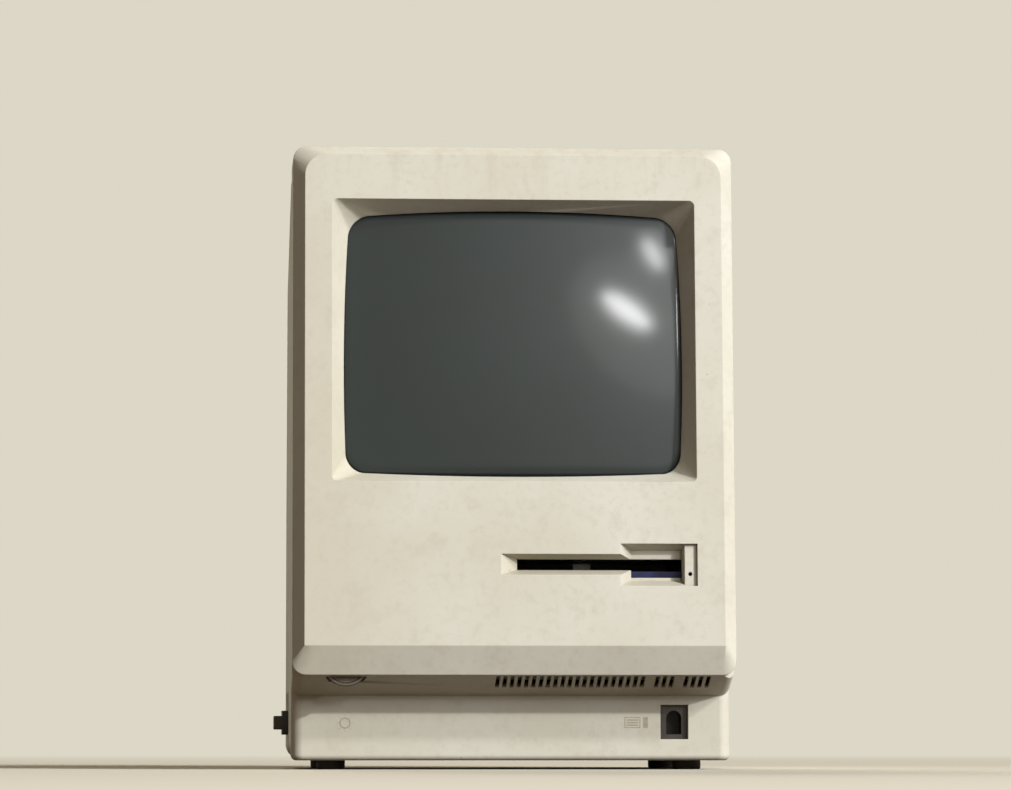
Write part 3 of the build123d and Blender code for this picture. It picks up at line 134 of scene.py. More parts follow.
def worked_surface(name, light, dark, patch_mm, rough, grain_mm, height_mm, strength=0.5, **values):
    """Two close tones in soft patches, with a gloss that follows them and the grain of the surface."""
    made, tree, shader = new_material(name, **values)
    place = add_node(tree, "TexCoord").outputs["Object"]
    tone = patches(tree, place, patch_mm)
    tree.links.new(blend_tones(tree, span(tree, tone, 0.35, 0.65), dark, light), shader.inputs["Base Color"])
    tree.links.new(span(tree, tone, 0.0, 1.0, rough + 0.09, rough - 0.09), shader.inputs["Roughness"])
    relief(tree, shader, patches(tree, place, grain_mm, 2.0), height_mm, strength)
    return made


def dress(material, *names):
    """Gives CAD nodes a material."""
    for name in names:
        frame["nodes"][name].data.materials.clear()
        frame["nodes"][name].data.materials.append(material)


# Zinc-plated steel: a dull silver whose crystals show as faint lighter and darker patches.
dress(worked_surface("zinc_plated_steel", "B9BAB6", "9C9E9B", 9.0, 0.42, 0.35, 0.01, Metallic=1.0),
      "chassis", "drive_bracket", "port_shield", "tube_band")


# ---- Screws ----
# Pan-head screws of blackened steel with a six-lobed recess. The case has two at its foot and two that
# are reached down the handle; the others hold the tube and the chassis.
def cad_form(name, flat_degrees=0.6):
    """A CAD node's mesh as one closed form, with its flat faces made whole."""
    form = bmesh.new()
    form.from_mesh(frame["nodes"][name].data)
    bmesh.ops.remove_doubles(form, verts=form.verts, dist=0.002 * MM)
    bmesh.ops.dissolve_limit(form, angle_limit=math.radians(flat_degrees), verts=form.verts, edges=form.edges,
                             use_dissolve_boundaries=False)
    return form


SHARP = math.radians(22.0)


def round_edges(form, edge_mm, segments=3):
    """Rounds a form's sharp edges, by no more than the tightest of them has room for."""
    sharp = [e for e in form.edges if e.is_manifold and e.calc_face_angle(0.0) > SHARP]
    bmesh.ops.bevel(form, geom=sharp, offset=edge_mm * MM, offset_type="OFFSET", segments=segments,
                    profile=0.5, affect="EDGES", material=-1, clamp_overlap=True, loop_slide=True)


def put(form, name, body, materials, stands_for=(), sharp_degrees=None):
    """Writes a form to a piece, which rides on a body and may stand for CAD nodes."""
    for face in form.faces:
        face.smooth = True
    if sharp_degrees:
        for edge in form.edges:
            edge.smooth = edge.is_manifold and edge.calc_face_angle(0.0) < math.radians(sharp_degrees)
    mesh = bpy.data.meshes.new(name)
    form.to_mesh(mesh)
    form.free()
    for material in materials:
        mesh.materials.append(material)
    piece = bpy.data.objects.new(name, mesh)
    bpy.context.scene.collection.objects.link(piece)
    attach(piece, body)
    if stands_for:
        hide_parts(*stands_for)
    return piece


def sink(form, faces, margin_mm, depth_mm, direction, material_index=None):
    """Cuts a pocket into each face: a margin is left round it, and its floor moves along a direction."""
    bmesh.ops.inset_individual(form, faces=faces, thickness=margin_mm * MM, use_even_offset=True)
    floors = bmesh.ops.extrude_discrete_faces(form, faces=faces)["faces"]
    bmesh.ops.translate(form, vec=Vector(direction) * depth_mm * MM,
                        verts=list({v for f in floors for v in f.verts}))
    if material_index is not None:
        for face in floors:
            face.material_index = material_index
    return floors


# Blackened steel: nearly black, with the sheen of thin oil.
screw_steel = worked_surface("blackened_steel", "5A5A58", "3C3C3B", 3.0, 0.42, 0.3, 0.01, Metallic=1.0)
HEAD_RADIUS, HEAD_EDGE, RECESS_RADIUS, LOBE, RECESS_DEPTH = 3.8, 0.5, 1.75, 0.22, 1.3
for name in ("case_screws", "tube_screws", "chassis_screws"):
    form = cad_form(name, 0.1)
    round_edges(form, HEAD_EDGE)
    # The flat tops of the heads are the only large faces that look backwards.
    heads = [f for f in form.faces if f.normal.y > 0.99 and f.calc_area() > (HEAD_RADIUS * MM) ** 2 * 1.5]
    for head in heads:
        middle = head.calc_center_median()
        rim = HEAD_RADIUS - HEAD_EDGE - RECESS_RADIUS
        bmesh.ops.inset_individual(form, faces=[head], thickness=rim * MM)
        for vert in head.verts:
            out = vert.co - middle
            lobe = 1 + LOBE * math.cos(6 * math.atan2(out.z, out.x))
            vert.co = middle + out * lobe
    sink(form, heads, 0.01, RECESS_DEPTH, (0, -1, 0))
    put(form, name.replace("screws", "screw_set"), "case", [screw_steel], [name], 35)

# ---- Circuit boards ----
# Sheets of glass-epoxy laminate under a green solder mask. Copper tracks run through the mask as fine
# straight lines, a little lighter than the ground; the mask is glossy.
def circuit_board(name, flat):
    """A board whose tracks run along its two flat directions, which are given as a pair of axes."""
    made, tree, shader = new_material(name, Specular_IOR_Level=0.5, Coat_Weight=0.3, Coat_Roughness=0.25)
    place = add_node(tree, "TexCoord").outputs["Object"]
    axes = add_node(tree, "SeparateXYZ", links={"Vector": place})
    regions = patches(tree, place, 26.0, 1.0)
    lanes = []
    for axis, side in zip(flat, ("GREATER_THAN", "LESS_THAN")):
        lane = add_node(tree, "TexVoronoi", {"Scale": per_metre(2.6), "Randomness": 0.55},
                        {"W": axes.outputs[axis]}, voronoi_dimensions="1D", feature="DISTANCE_TO_EDGE")
        near = add_node(tree, "Math", {1: 0.16}, {0: lane.outputs["Distance"]}, operation="LESS_THAN")
        here = add_node(tree, "Math", {1: 0.5}, {0: regions}, operation=side)
        lanes.append(add_node(tree, "Math", links={0: near.outputs[0], 1: here.outputs[0]},
                              operation="MULTIPLY").outputs[0])
    copper = add_node(tree, "Math", links={0: lanes[0], 1: lanes[1]}, operation="MAXIMUM").outputs[0]
    tree.links.new(blend_tones(tree, copper, "1E4A28", "2F6A3A"), shader.inputs["Base Color"])
    tree.links.new(span(tree, copper, 0.0, 1.0, 0.42, 0.3), shader.inputs["Roughness"])
    relief(tree, shader, copper, 0.035)
    return made


dress(circuit_board("solder_mask_lying", ("X", "Y")), "logic_board", "drive_board")
dress(circuit_board("solder_mask_on_edge", ("Y", "Z")), "analog_board")
dress(circuit_board("solder_mask_across", ("X", "Z")), "neck_board")

# ---- Chips ----
# Blocks of moulded black epoxy on two rows of tinned legs. The epoxy is shot against a matt steel die, so
# it is dull with a faint sparkle. The power transistors are of the same epoxy.
chip_epoxy = worked_surface("black_chip_epoxy", "2A2A2C", "202022", 14.0, 0.55, 0.25, 0.02)
tinned = worked_surface("tinned_legs", "C4C4C0", "A5A6A3", 3.0, 0.35, 0.4, 0.01, Metallic=1.0)
dress(chip_epoxy, "power_transistors")
LEG_PITCH, LEG_WIDTH, LEG_OUT, LEG_THICK, LEG_KNEE = 2.54, 0.6, 0.9, 0.3, 0.45


def box_between(form, low, high):
    """A box in the form, between two corners in metres."""
    centre, size = (low + high) / 2, high - low
    bmesh.ops.create_cube(form, size=1.0, matrix=Matrix.Translation(centre) @ Matrix.Diagonal((*size, 1.0)))


def islands(form):
    """The lowest and highest corner of each separate solid of a form."""
    left, found = set(form.verts), []
    while left:
        reached, edge = set(), {left.pop()}
        while edge:
            reached |= edge
            edge = {e.other_vert(v) for v in edge for e in v.link_edges} - reached
        left -= reached
        found.append([Vector([pick(v.co[i] for v in reached) for i in range(3)]) for pick in (min, max)])
    return sorted(found, key=lambda box: tuple(box[0]))


for name in ("processor", "rom_chips", "memory_chips", "interface_chips"):
    form = cad_form(name)
    blocks = islands(form)
    round_edges(form, 0.3, 2)
    put(form, name + "_blocks", "case", [chip_epoxy], [name])
    legs = bmesh.new()
    for low, high in blocks:
        along = range(round((high.x - low.x) / MM / LEG_PITCH - 0.5))
        start = (low.x + high.x) / 2 - (len(along) - 1) * LEG_PITCH * MM / 2
        knee = low.z + (high.z - low.z) * LEG_KNEE
        for i in along:
            left = start + (i * LEG_PITCH - LEG_WIDTH / 2) * MM
            right = left + LEG_WIDTH * MM
            for edge, out in ((low.y, -1), (high.y, 1)):
                near, far = sorted((edge + out * (LEG_OUT - LEG_THICK) * MM, edge + out * LEG_OUT * MM))
                box_between(legs, Vector((left, near, low.z)), Vector((right, far, knee)))
                near, far = sorted((edge, edge + out * LEG_OUT * MM))
                box_between(legs, Vector((left, near, knee)), Vector((right, far, knee + LEG_THICK * MM)))
    put(legs, name + "_legs", "case", [tinned], sharp_degrees=30)

# ---- Capacitors and battery ----
# Rolled aluminium cans in a tight shrunk sleeve of glossy vinyl, which leaves the can's end bare. The
# battery has the same sleeve, and a low button at each end.
sleeve = worked_surface("blue_shrink_sleeve", "22304F", "1A2541", 8.0, 0.3, 1.2, 0.03, Coat_Weight=0.4,
                        Coat_Roughness=0.15)
bare_can = worked_surface("drawn_aluminium", "C9CACB", "B4B6B8", 4.0, 0.35, 0.4, 0.01, Metallic=1.0)
SLEEVE_FOLD, CAN_END_DEPTH, BUTTON_MARGIN, BUTTON_HEIGHT = 1.2, 0.4, 2.4, 0.4
SMALLEST_END = 20 * MM * MM
form = cad_form("capacitors", 0.1)
round_edges(form, 0.6)
ends = [f for f in form.faces if f.normal.x > 0.99 and f.calc_area() > SMALLEST_END]
sink(form, ends, SLEEVE_FOLD, CAN_END_DEPTH, (-1, 0, 0), 1)
put(form, "capacitor_cans", "case", [sleeve, bare_can], ["capacitors"], 35)
form = cad_form("battery", 0.1)
round_edges(form, 0.8)
ends = [f for f in form.faces if abs(f.normal.x) > 0.99 and f.calc_area() > SMALLEST_END]
for end in ends:
    sink(form, [end], BUTTON_MARGIN, -BUTTON_HEIGHT, tuple(-end.normal), 1)
put(form, "battery_cell", "case", [sleeve, bare_can], ["battery"], 35)

# ---- Transformers ----
# The flyback and power transformers and the core of the tube's yoke: grey-black sintered ferrite, slightly
# speckled, with potting of the same colour.
dress(worked_surface("sintered_ferrite", "3B3B3E", "2A2A2C", 1.8, 0.6, 0.5, 0.05),
      "flyback_transformer", "power_transformer", "yoke_core")

# ---- Heat sink and head carriage ----
# The heat sink is extruded aluminium and the head carriage is cast. Both are left as they came from the
# die, with a dull even skin.
dress(worked_surface("mill_aluminium", "C9CACB", "B4B6B8", 6.0, 0.38, 0.35, 0.01, Metallic=1.0),
      "heat_sink", "head_carriage")

# ---- Picture tube ----
# A bulb of thick tinted glass. Its face is pressed to a shallow sphere with a rolled edge, and the
# funnel behind is painted with graphite. All of it leans back with the front of the case.
#
# In millimetres above the table: where the leaning face starts, and the middle of the screen on it.
FACE_FOOT, SCREEN_MIDDLE = 67.7, 236.5
FACE_LEAN = math.radians(4.0)
# The glass from its middle to its sides, the round of its corners and the roll of its edge.
TUBE_HALF_WIDTH, TUBE_HALF_HEIGHT, TUBE_CORNER, TUBE_ROLL = 101.2, 79.4, 22.5, 11.0
# The sphere's radius, and how far its top lies behind the face and below the middle of the screen.
TUBE_CURVE, TUBE_APEX, TUBE_LOW = 650.0, 4.5, 14.0
# How deep the rim, the funnel and the neck reach, and the neck's radius.
TUBE_RIM, TUBE_CONE, TUBE_LENGTH, TUBE_NECK = 36.0, 96.0, 226.0, 10.0
ROLL_STEPS, FACE_STEP = 12, 6.0


def case_place(x, y, z):
    """A place in millimetres from the case's middle, the chin and the table, in the frame's metres."""
    return Vector(((bezel_low.x + bezel_high.x) / 2 + x * MM, bezel_low.y + y * MM, z * MM))


def facing_front(x, y, z, lean=0.0):
    """Turns millimetres across, up and out of a front face into the frame's metres, at a place."""
    return (Matrix.Translation(case_place(x, y, z)) @ Matrix.Rotation(math.pi / 2 - lean, 4, "X")
            @ Matrix.Scale(MM, 4))


glass = bmesh.new()
corners = [glass.verts.new((x * TUBE_HALF_WIDTH, y * TUBE_HALF_HEIGHT, 0))
           for x, y in ((-1, -1), (1, -1), (1, 1), (-1, 1))]
glass.faces.new(corners)
bmesh.ops.bevel(glass, geom=corners, offset=TUBE_CORNER, offset_type="OFFSET", segments=12, profile=0.5,
                affect="VERTICES", material=-1)
face = glass.faces[:][0]
# The rolled edge: rings that step in and up round a quarter circle.
inset_so_far = 0.0
for vert in face.verts:
    vert.co.z = -TUBE_ROLL
for step in range(1, ROLL_STEPS + 1):
    turn = math.radians(90) * step / ROLL_STEPS
    inset = TUBE_ROLL * (1 - math.cos(turn))
    bmesh.ops.inset_region(glass, faces=[face], thickness=inset - inset_so_far, use_even_offset=True,
                           use_boundary=True)
    inset_so_far = inset
    for vert in face.verts:
        vert.co.z = -TUBE_ROLL * (1 - math.sin(turn))
# The face and its roll are cut into small squares, and the whole is set back to the sphere.
for axis, reach in ((0, TUBE_HALF_WIDTH), (1, TUBE_HALF_HEIGHT)):
    for i in range(int(-reach / FACE_STEP), int(reach / FACE_STEP) + 1):
        place = [0, 0, 0]
        place[axis] = i * FACE_STEP
        bmesh.ops.bisect_plane(glass, geom=glass.verts[:] + glass.edges[:] + glass.faces[:], dist=0.001,
                               plane_co=place, plane_no=[float(axis == 0), float(axis == 1), 0])
for vert in glass.verts:
    fall = TUBE_CURVE - math.sqrt(TUBE_CURVE ** 2 - vert.co.x ** 2 - (vert.co.y + TUBE_LOW) ** 2)
    vert.co.z -= TUBE_APEX + fall
# The rim, the funnel and the neck.
edges = [e for e in glass.edges if e.is_boundary]
for depth, toward in ((TUBE_RIM, 0.0), (TUBE_CONE, 1.0), (TUBE_LENGTH, 1.0)):
    made = bmesh.ops.extrude_edge_only(glass, edges=edges)["geom"]
    for vert in (g for g in made if isinstance(g, bmesh.types.BMVert)):
        flat = Vector((vert.co.x, vert.co.y))
        flat = flat.lerp(flat.normalized() * TUBE_NECK, toward)
        vert.co = (*flat, -depth)
    edges = [g for g in made if isinstance(g, bmesh.types.BMEdge)]
bmesh.ops.edgeloop_fill(glass, edges=edges)
for face in glass.faces:
    face.material_index = int(face.calc_center_median().z < -TUBE_RIM - 1)
bmesh.ops.recalc_face_normals(glass, faces=glass.faces[:])
screen_frame = facing_front(0, (SCREEN_MIDDLE - FACE_FOOT) * math.tan(FACE_LEAN), SCREEN_MIDDLE, FACE_LEAN)
bmesh.ops.transform(glass, matrix=screen_frame, verts=glass.verts)

# Tinted glass over grey phosphor: dark and cool, glossy with a soft haze round each highlight.
tube_glass, tree, shader = new_material("tinted_tube_glass", Specular_IOR_Level=0.3, IOR=1.52,
                                        Coat_Weight=0.4, Coat_Roughness=0.1, Coat_IOR=1.5)
place = add_node(tree, "TexCoord").outputs["Object"]
haze = patches(tree, place, 70.0, 3.0)
tree.links.new(blend_tones(tree, span(tree, haze, 0.35, 0.65), "232A2A", "272F30"),
               shader.inputs["Base Color"])
tree.links.new(span(tree, haze, 0.3, 0.7, 0.5, 0.44), shader.inputs["Roughness"])
graphite = worked_surface("graphite_paint", "343436", "26262A", 11.0, 0.6, 0.5, 0.05)
put(glass, "tube_bulb", "case", [tube_glass, graphite], ["picture_tube"], 35)

# ---- Yoke coils ----
# Enamelled copper wire wound in close turns round the neck of the tube. The clear enamel lets the copper
# show and gives it a soft gloss.
wire, tree, shader = new_material("enamelled_copper_wire", Metallic=0.75, Coat_Weight=0.5,
                                  Coat_Roughness=0.2)
WIRE_PITCH = 0.9
place = add_node(tree, "TexCoord").outputs["Object"]
turns = add_node(tree, "TexWave", {"Scale": per_metre(WIRE_PITCH) / 2, "Distortion": 1.5}, {"Vector": place},
                 bands_direction="Y").outputs["Fac"]
# Painted shade: each turn is darker where it meets the next, from the same wave as its relief.
tree.links.new(blend_tones(tree, turns, "6E2F14", "B4562A"), shader.inputs["Base Color"])
tree.links.new(span(tree, turns, 0.0, 1.0, 0.5, 0.3), shader.inputs["Roughness"])
relief(tree, shader, turns, 0.3, 0.7)
dress(wire, "yoke_coils")

# ---- Loudspeaker ----
# A pressed paper cone in a steel basket, both black. The whole speaker has the paper's finish, which is
# matt, fibrous and slightly uneven.
dress(worked_surface("black_speaker_paper", "2B2926", "1C1B1A", 3.0, 0.85, 0.6, 0.12), "loudspeaker")

# ---- Disk drive ----
# A tub of plated sheet. The cage that carries the disk is passivated dark blue; the motors are plated
# cans, and the rod and the screw that guide the heads are ground steel.
dress(worked_surface("plated_drive_sheet", "A9ABA9", "8E908F", 7.0, 0.4, 0.35, 0.01, Metallic=1.0),
      "drive_chassis")
dress(worked_surface("blue_passivated_sheet", "262E5E", "1C2449", 6.0, 0.38, 0.4, 0.01, Metallic=0.3),
      "disk_cage")
dress(worked_surface("ground_steel", "C2C2C0", "A9A9A8", 5.0, 0.22, 0.3, 0.005, Metallic=1.0), "guide_rod")
dress(worked_surface("plated_motor_can", "7E7F80", "646566", 6.0, 0.4, 0.35, 0.01, Metallic=1.0),
      "spindle_rotor", "stepper_motor", "eject_motor")
dress(worked_surface("grey_acetal", "6F6B62", "625E56", 9.0, 0.5, 0.4, 0.02), "eject_lever")
# The screw's thread shows as bright crests and darker grooves, which are painted shade and oil.
thread, tree, shader = new_material("threaded_steel", Metallic=1.0)
THREAD_PITCH = 3.0
place = add_node(tree, "TexCoord").outputs["Object"]
groove_shade_and_oil = add_node(tree, "TexWave", {"Scale": per_metre(THREAD_PITCH) / 2}, {"Vector": place},
                  bands_direction="Y").outputs["Fac"]
tree.links.new(blend_tones(tree, groove_shade_and_oil, "6B6862", "C2C2C0"), shader.inputs["Base Color"])
tree.links.new(span(tree, groove_shade_and_oil, 0.0, 1.0, 0.45, 0.2), shader.inputs["Roughness"])
relief(tree, shader, groove_shade_and_oil, 0.5, 0.9)
dress(thread, "lead_screw")

# ---- Black mouldings ----
# The tube's socket and centring rings, the battery holder, the switches on the logic board and the body
# of the brightness control. All are moulded of glass-filled nylon, black and satin.
black_nylon = worked_surface("black_nylon", "1E1D1C", "151413", 7.0, 0.48, 0.35, 0.03)
dress(black_nylon, "centring_rings", "tube_socket", "battery_holder", "board_switches",
      "brightness_control")

# ---- Front bezel ----
# One deep moulding: the chamfered front, the recess that funnels down to the glass, the disk slot with
# its finger notch, and the overhanging chin with its vents. Two screws from the handle hold it.
#
# The plastic is a pale stone-coloured ABS, moulded against a spark-eroded steel mould, so it has a fine
# even grain. Daylight has turned it unevenly yellow and hands have greyed it. Painted shade darkens its left
# side and its recess, and grime and painted shade its corners.
stone_abs, tree, shader = new_material("stone_coloured_abs", Specular_IOR_Level=0.4)
place = add_node(tree, "TexCoord").outputs["Object"]
axes = add_node(tree, "SeparateXYZ", links={"Vector": place})
# Yellowing in broad clouds. Towards the left the plastic is painted darker and yellower: painted shade, where
# less light falls.
painted_left_shade = span(tree, axes.outputs["X"], 0.06, -0.12, 0.0, 0.5)
clouds = span(tree, patches(tree, place, 75.0, 3.0), 0.36, 0.64, 0.0, 0.6)
yellowing_and_left_shade = add_node(tree, "Math", links={0: painted_left_shade, 1: clouds}, operation="ADD", use_clamp=True).outputs[0]
tone = blend_tones(tree, yellowing_and_left_shade, "DFDCCF", "D3CEBB")
# Smudges from handling, and a fine mottle between them.
smudge = patches(tree, place, 16.0, 6.0, 0.62)
tone = blend_tones(tree, span(tree, smudge, 0.52, 0.78, 0.0, 0.5), tone, "C9C2AF")
mottle = patches(tree, place, 4.0, 3.0)
tone = blend_tones(tree, span(tree, mottle, 0.5, 0.75, 0.0, 0.35), tone, "CCC5B2")
# Dust has run down from the top edge in faint streaks.
streak_place = add_node(tree, "Mapping", {"Scale": (1.0, 1.0, 0.12)}, {"Vector": place}).outputs["Vector"]
streaks = span(tree, patches(tree, streak_place, 7.0, 5.0), 0.52, 0.75, 0.0, 0.35)
high = span(tree, axes.outputs["Z"], 0.31, 0.345)
tone = blend_tones(tree, add_node(tree, "Math", links={0: streaks, 1: high}, operation="MULTIPLY").outputs[0],
                   tone, "BFB298")
# Painted shade: the recess and the ledges are darker than the open faces, where the wide occlusion finds
# them.
recess_shade = add_node(tree, "AmbientOcclusion", {"Distance": 45 * MM}, samples=5,
                     only_local=True).outputs["AO"]
tone = blend_tones(tree, span(tree, recess_shade, 0.93, 0.55, 0.0, 0.5), tone, "A39C88")
# Specks of dirt, few and small.
specks = add_node(tree, "TexVoronoi", {"Scale": per_metre(22)}, {"Vector": place}).outputs["Distance"]
tone = blend_tones(tree, span(tree, specks, 0.028, 0.018, 0.0, 0.6), tone, "8A7F6C")
# Grime and painted shade in the corners: darker where the near occlusion finds a crease.
corner_grime_and_shade = add_node(tree, "AmbientOcclusion", {"Distance": 7 * MM}, samples=6, only_local=True).outputs["AO"]
tone = blend_tones(tree, span(tree, corner_grime_and_shade, 0.62, 0.2, 0.0, 0.5), tone, "7D705C")
tree.links.new(tone, shader.inputs["Base Color"])
tree.links.new(span(tree, smudge, 0.0, 1.0, 0.62, 0.44), shader.inputs["Roughness"])
# The mould leaves every edge a little round, which catches the light as a thin line.
soft_edge = add_node(tree, "Bevel", {"Radius": 0.7 * MM}, samples=4).outputs["Normal"]
relief(tree, shader, patches(tree, place, 0.5, 2.0), 0.035, 0.35, Normal=soft_edge)


def softened(name, edge_mm, materials):
    """A CAD node with its sharp edges rounded where there is room, in a piece that stands for it."""
    form = cad_form(name)
    round_edges(form, edge_mm)
    piece = put(form, name + "_moulding", frame["nodes"][name]["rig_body"], materials, [name], 35)
    flatten = piece.modifiers.new("flat_faces", "WEIGHTED_NORMAL")
    flatten.keep_sharp = True
    flatten.weight = 100


softened("front_bezel", 0.5, [stone_abs])

# ---- Signs on the base ----
# Two small signs moulded in the base, a sun under the brightness knob and a keyboard beside its jack.
# They stand out by a few hundredths of a millimetre, and are coloured a darker grey than the case.
BASE_FRONT, SIGN_PROUD = 37.0, 0.06
SUN_X, SUN_Z, SUN_RADIUS, SUN_HOLE = -92.2, 25.6, 3.1, 2.4
RAYS, RAY_MIDDLE, RAY_LENGTH, RAY_WIDTH = 8, 4.1, 0.8, 0.3
sign_grey = worked_surface("grey_relief", "B5AD99", "A79E8A", 2.0, 0.6, 0.4, 0.02)
sun = bmesh.new()
for radius in (SUN_RADIUS, SUN_HOLE):
    bmesh.ops.create_circle(sun, cap_ends=False, segments=32, radius=radius)
bmesh.ops.bridge_loops(sun, edges=sun.edges[:])
for ray in range(RAYS):
    bmesh.ops.create_grid(sun, x_segments=1, y_segments=1, size=0.5, matrix=(
        Matrix.Rotation(ray * math.tau / RAYS, 4, "Z") @ Matrix.Translation((RAY_MIDDLE, 0, 0))
        @ Matrix.Diagonal((RAY_LENGTH, RAY_WIDTH, 1.0, 1.0))))
bmesh.ops.transform(sun, matrix=facing_front(SUN_X, BASE_FRONT, SUN_Z), verts=sun.verts)
keys = bmesh.new()
# The keyboard's outline and three rows of keys, then its number pad: left, right, foot and head.
for left, right, foot, head in ((62.8, 71.7, 22.9, 23.4), (62.8, 71.7, 28.5, 29.0), (62.8, 63.3, 23.4, 28.5),
                                (71.2, 71.7, 23.4, 28.5), (64.0, 70.5, 24.1, 24.9), (64.0, 70.5, 25.5, 26.3),
                                (64.0, 70.5, 26.9, 27.7), (73.2, 75.9, 22.9, 29.0)):
    bmesh.ops.create_grid(keys, x_segments=1, y_segments=1, size=0.5, matrix=(
        Matrix.Translation(((left + right) / 2, (foot + head) / 2, 0))
        @ Matrix.Diagonal((right - left, head - foot, 1.0, 1.0))))
bmesh.ops.transform(keys, matrix=facing_front(0, BASE_FRONT, 0), verts=keys.verts)
for form, name in ((sun, "sun_sign"), (keys, "keyboard_sign")):
    raised = bmesh.ops.extrude_face_region(form, geom=form.faces[:])["geom"]
    bmesh.ops.translate(form, vec=(0, -SIGN_PROUD * MM, 0),
                        verts=[g for g in raised if isinstance(g, bmesh.types.BMVert)])
    bmesh.ops.recalc_face_normals(form, faces=form.faces[:])
    put(form, name, "case", [sign_grey], sharp_degrees=30)

# ---- Rear housing ----
# The bucket that closes the computer from behind, with the sunk handle, the vents and the openings for
# the sockets. It and the battery's cover in its back are moulded of the same plastic as the bezel.
softened("rear_housing", 0.6, [stone_abs])
softened("battery_door", 0.3, [stone_abs])

# ---- Brightness knob ----
# A thin wheel of the case's plastic under the chin, with a knurled rim that a fingertip turns. It sits
# on the stem of the brightness control.
KNOB_RADIUS, KNOB_THICK, KNOB_RIDGES, RIDGE_DEPTH = 13.2, 6.5, 60, 0.45
KNOB_EDGE, KNOB_BAND, KNOB_DISH = 0.5, 1.7, 0.6
HUB_RADIUS, HUB_EDGE, STEM_RADIUS, STEM_SEAT = 5.0, 0.4, 3.0, 1.0
knob_low, knob_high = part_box("brightness_knob")
wheel = bmesh.new()
bmesh.ops.create_circle(wheel, cap_ends=True, segments=KNOB_RIDGES * 3, radius=KNOB_RADIUS)
raised = bmesh.ops.extrude_face_region(wheel, geom=wheel.faces[:])["geom"]
cap = next(g for g in raised if isinstance(g, bmesh.types.BMFace))
# The radius and height of each ring that the wheel's front steps through, from its rim to its hub.
dish_height = KNOB_THICK - KNOB_DISH
for radius, height in ((KNOB_RADIUS, KNOB_THICK - KNOB_EDGE), (KNOB_RADIUS - KNOB_EDGE, KNOB_THICK),
                       (KNOB_RADIUS - KNOB_BAND, KNOB_THICK),
                       (KNOB_RADIUS - KNOB_BAND - KNOB_EDGE, dish_height), (HUB_RADIUS, dish_height),
                       (HUB_RADIUS - HUB_EDGE, dish_height + HUB_EDGE)):
    for vert in cap.verts:
        vert.co = (*vert.co.xy.normalized() * radius, height)
    bmesh.ops.inset_region(wheel, faces=[cap], thickness=0.01)
for vert in wheel.verts:
    ridge = math.atan2(vert.co.y, vert.co.x) * KNOB_RIDGES
    if vert.co.xy.length > KNOB_RADIUS - 0.1 and math.cos(ridge) > 0.9:
        vert.co.xy *= 1 - RIDGE_DEPTH / KNOB_RADIUS
stem_length = (knob_high.y - knob_low.y) / MM - KNOB_THICK + STEM_SEAT
stem = bmesh.ops.create_cone(wheel, cap_ends=True, segments=32, radius1=STEM_RADIUS, radius2=STEM_RADIUS,
                             depth=stem_length)["verts"]
bmesh.ops.translate(wheel, verts=stem, vec=(0, 0, STEM_SEAT - stem_length / 2))
bmesh.ops.recalc_face_normals(wheel, faces=wheel.faces[:])
knob_place = Vector(((knob_low.x + knob_high.x) / 2, knob_low.y + KNOB_THICK * MM,
                     (knob_low.z + knob_high.z) / 2))
bmesh.ops.transform(wheel, verts=wheel.verts, matrix=(
    Matrix.Translation(knob_place) @ Matrix.Rotation(math.pi / 2, 4, "X") @ Matrix.Scale(MM, 4)))
# The wheel's face is painted in the dark brown-grey of the chin's shade, and its knurled rim nearly black as
# painted shadow.
wheel_face_shade = worked_surface("wheel_abs_painted_shade", "6F6557", "5E5548", 5.0, 0.5, 0.5, 0.03)
knurl_painted_shadow = worked_surface("knurls_painted_shadow", "2E221A", "21180F", 1.5, 0.7, 0.4, 0.05)
# The rim's faces take the painted shadow, the rest the painted shade.
for face in wheel.faces:
    reach = max((v.co - knob_place).length for v in face.verts)
    face.material_index = int(abs(face.normal.y) < 0.9 and reach > (KNOB_RADIUS - 1) * MM)
put(wheel, "knurled_wheel", "knob", [wheel_face_shade, knurl_painted_shadow], ["brightness_knob"], 35)

# ---- Keyboard jack ----
# A four-way telephone-style socket behind the base: a dark brown moulding whose mouth has a round head
# for the plug's latch, and is black inside.
#
# In millimetres: the socket's middle across, the height at which its mouth's arch springs, half of the
# mouth's width, its drop below the arch, its depth and the lip round it.
JACK_X, MOUTH_SPRING, MOUTH_HALF, MOUTH_DROP, MOUTH_DEPTH, MOUTH_LIP = 90.6, 28.3, 4.5, 9.1, 14.0, 0.3
jack_low, jack_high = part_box("keyboard_jack")
jack_brown = worked_surface("brown_nylon", "3A322A", "2D2620", 5.0, 0.5, 0.35, 0.03)
jack = bmesh.new()
mouth_edge = bmesh.ops.create_circle(jack, cap_ends=True, segments=32, radius=1.0)["verts"]
mouth = jack.faces[:]


def squared(place):
    """A point of the unit circle pushed out to the unit square."""
    return place.xy / max(abs(place.x), abs(place.y))


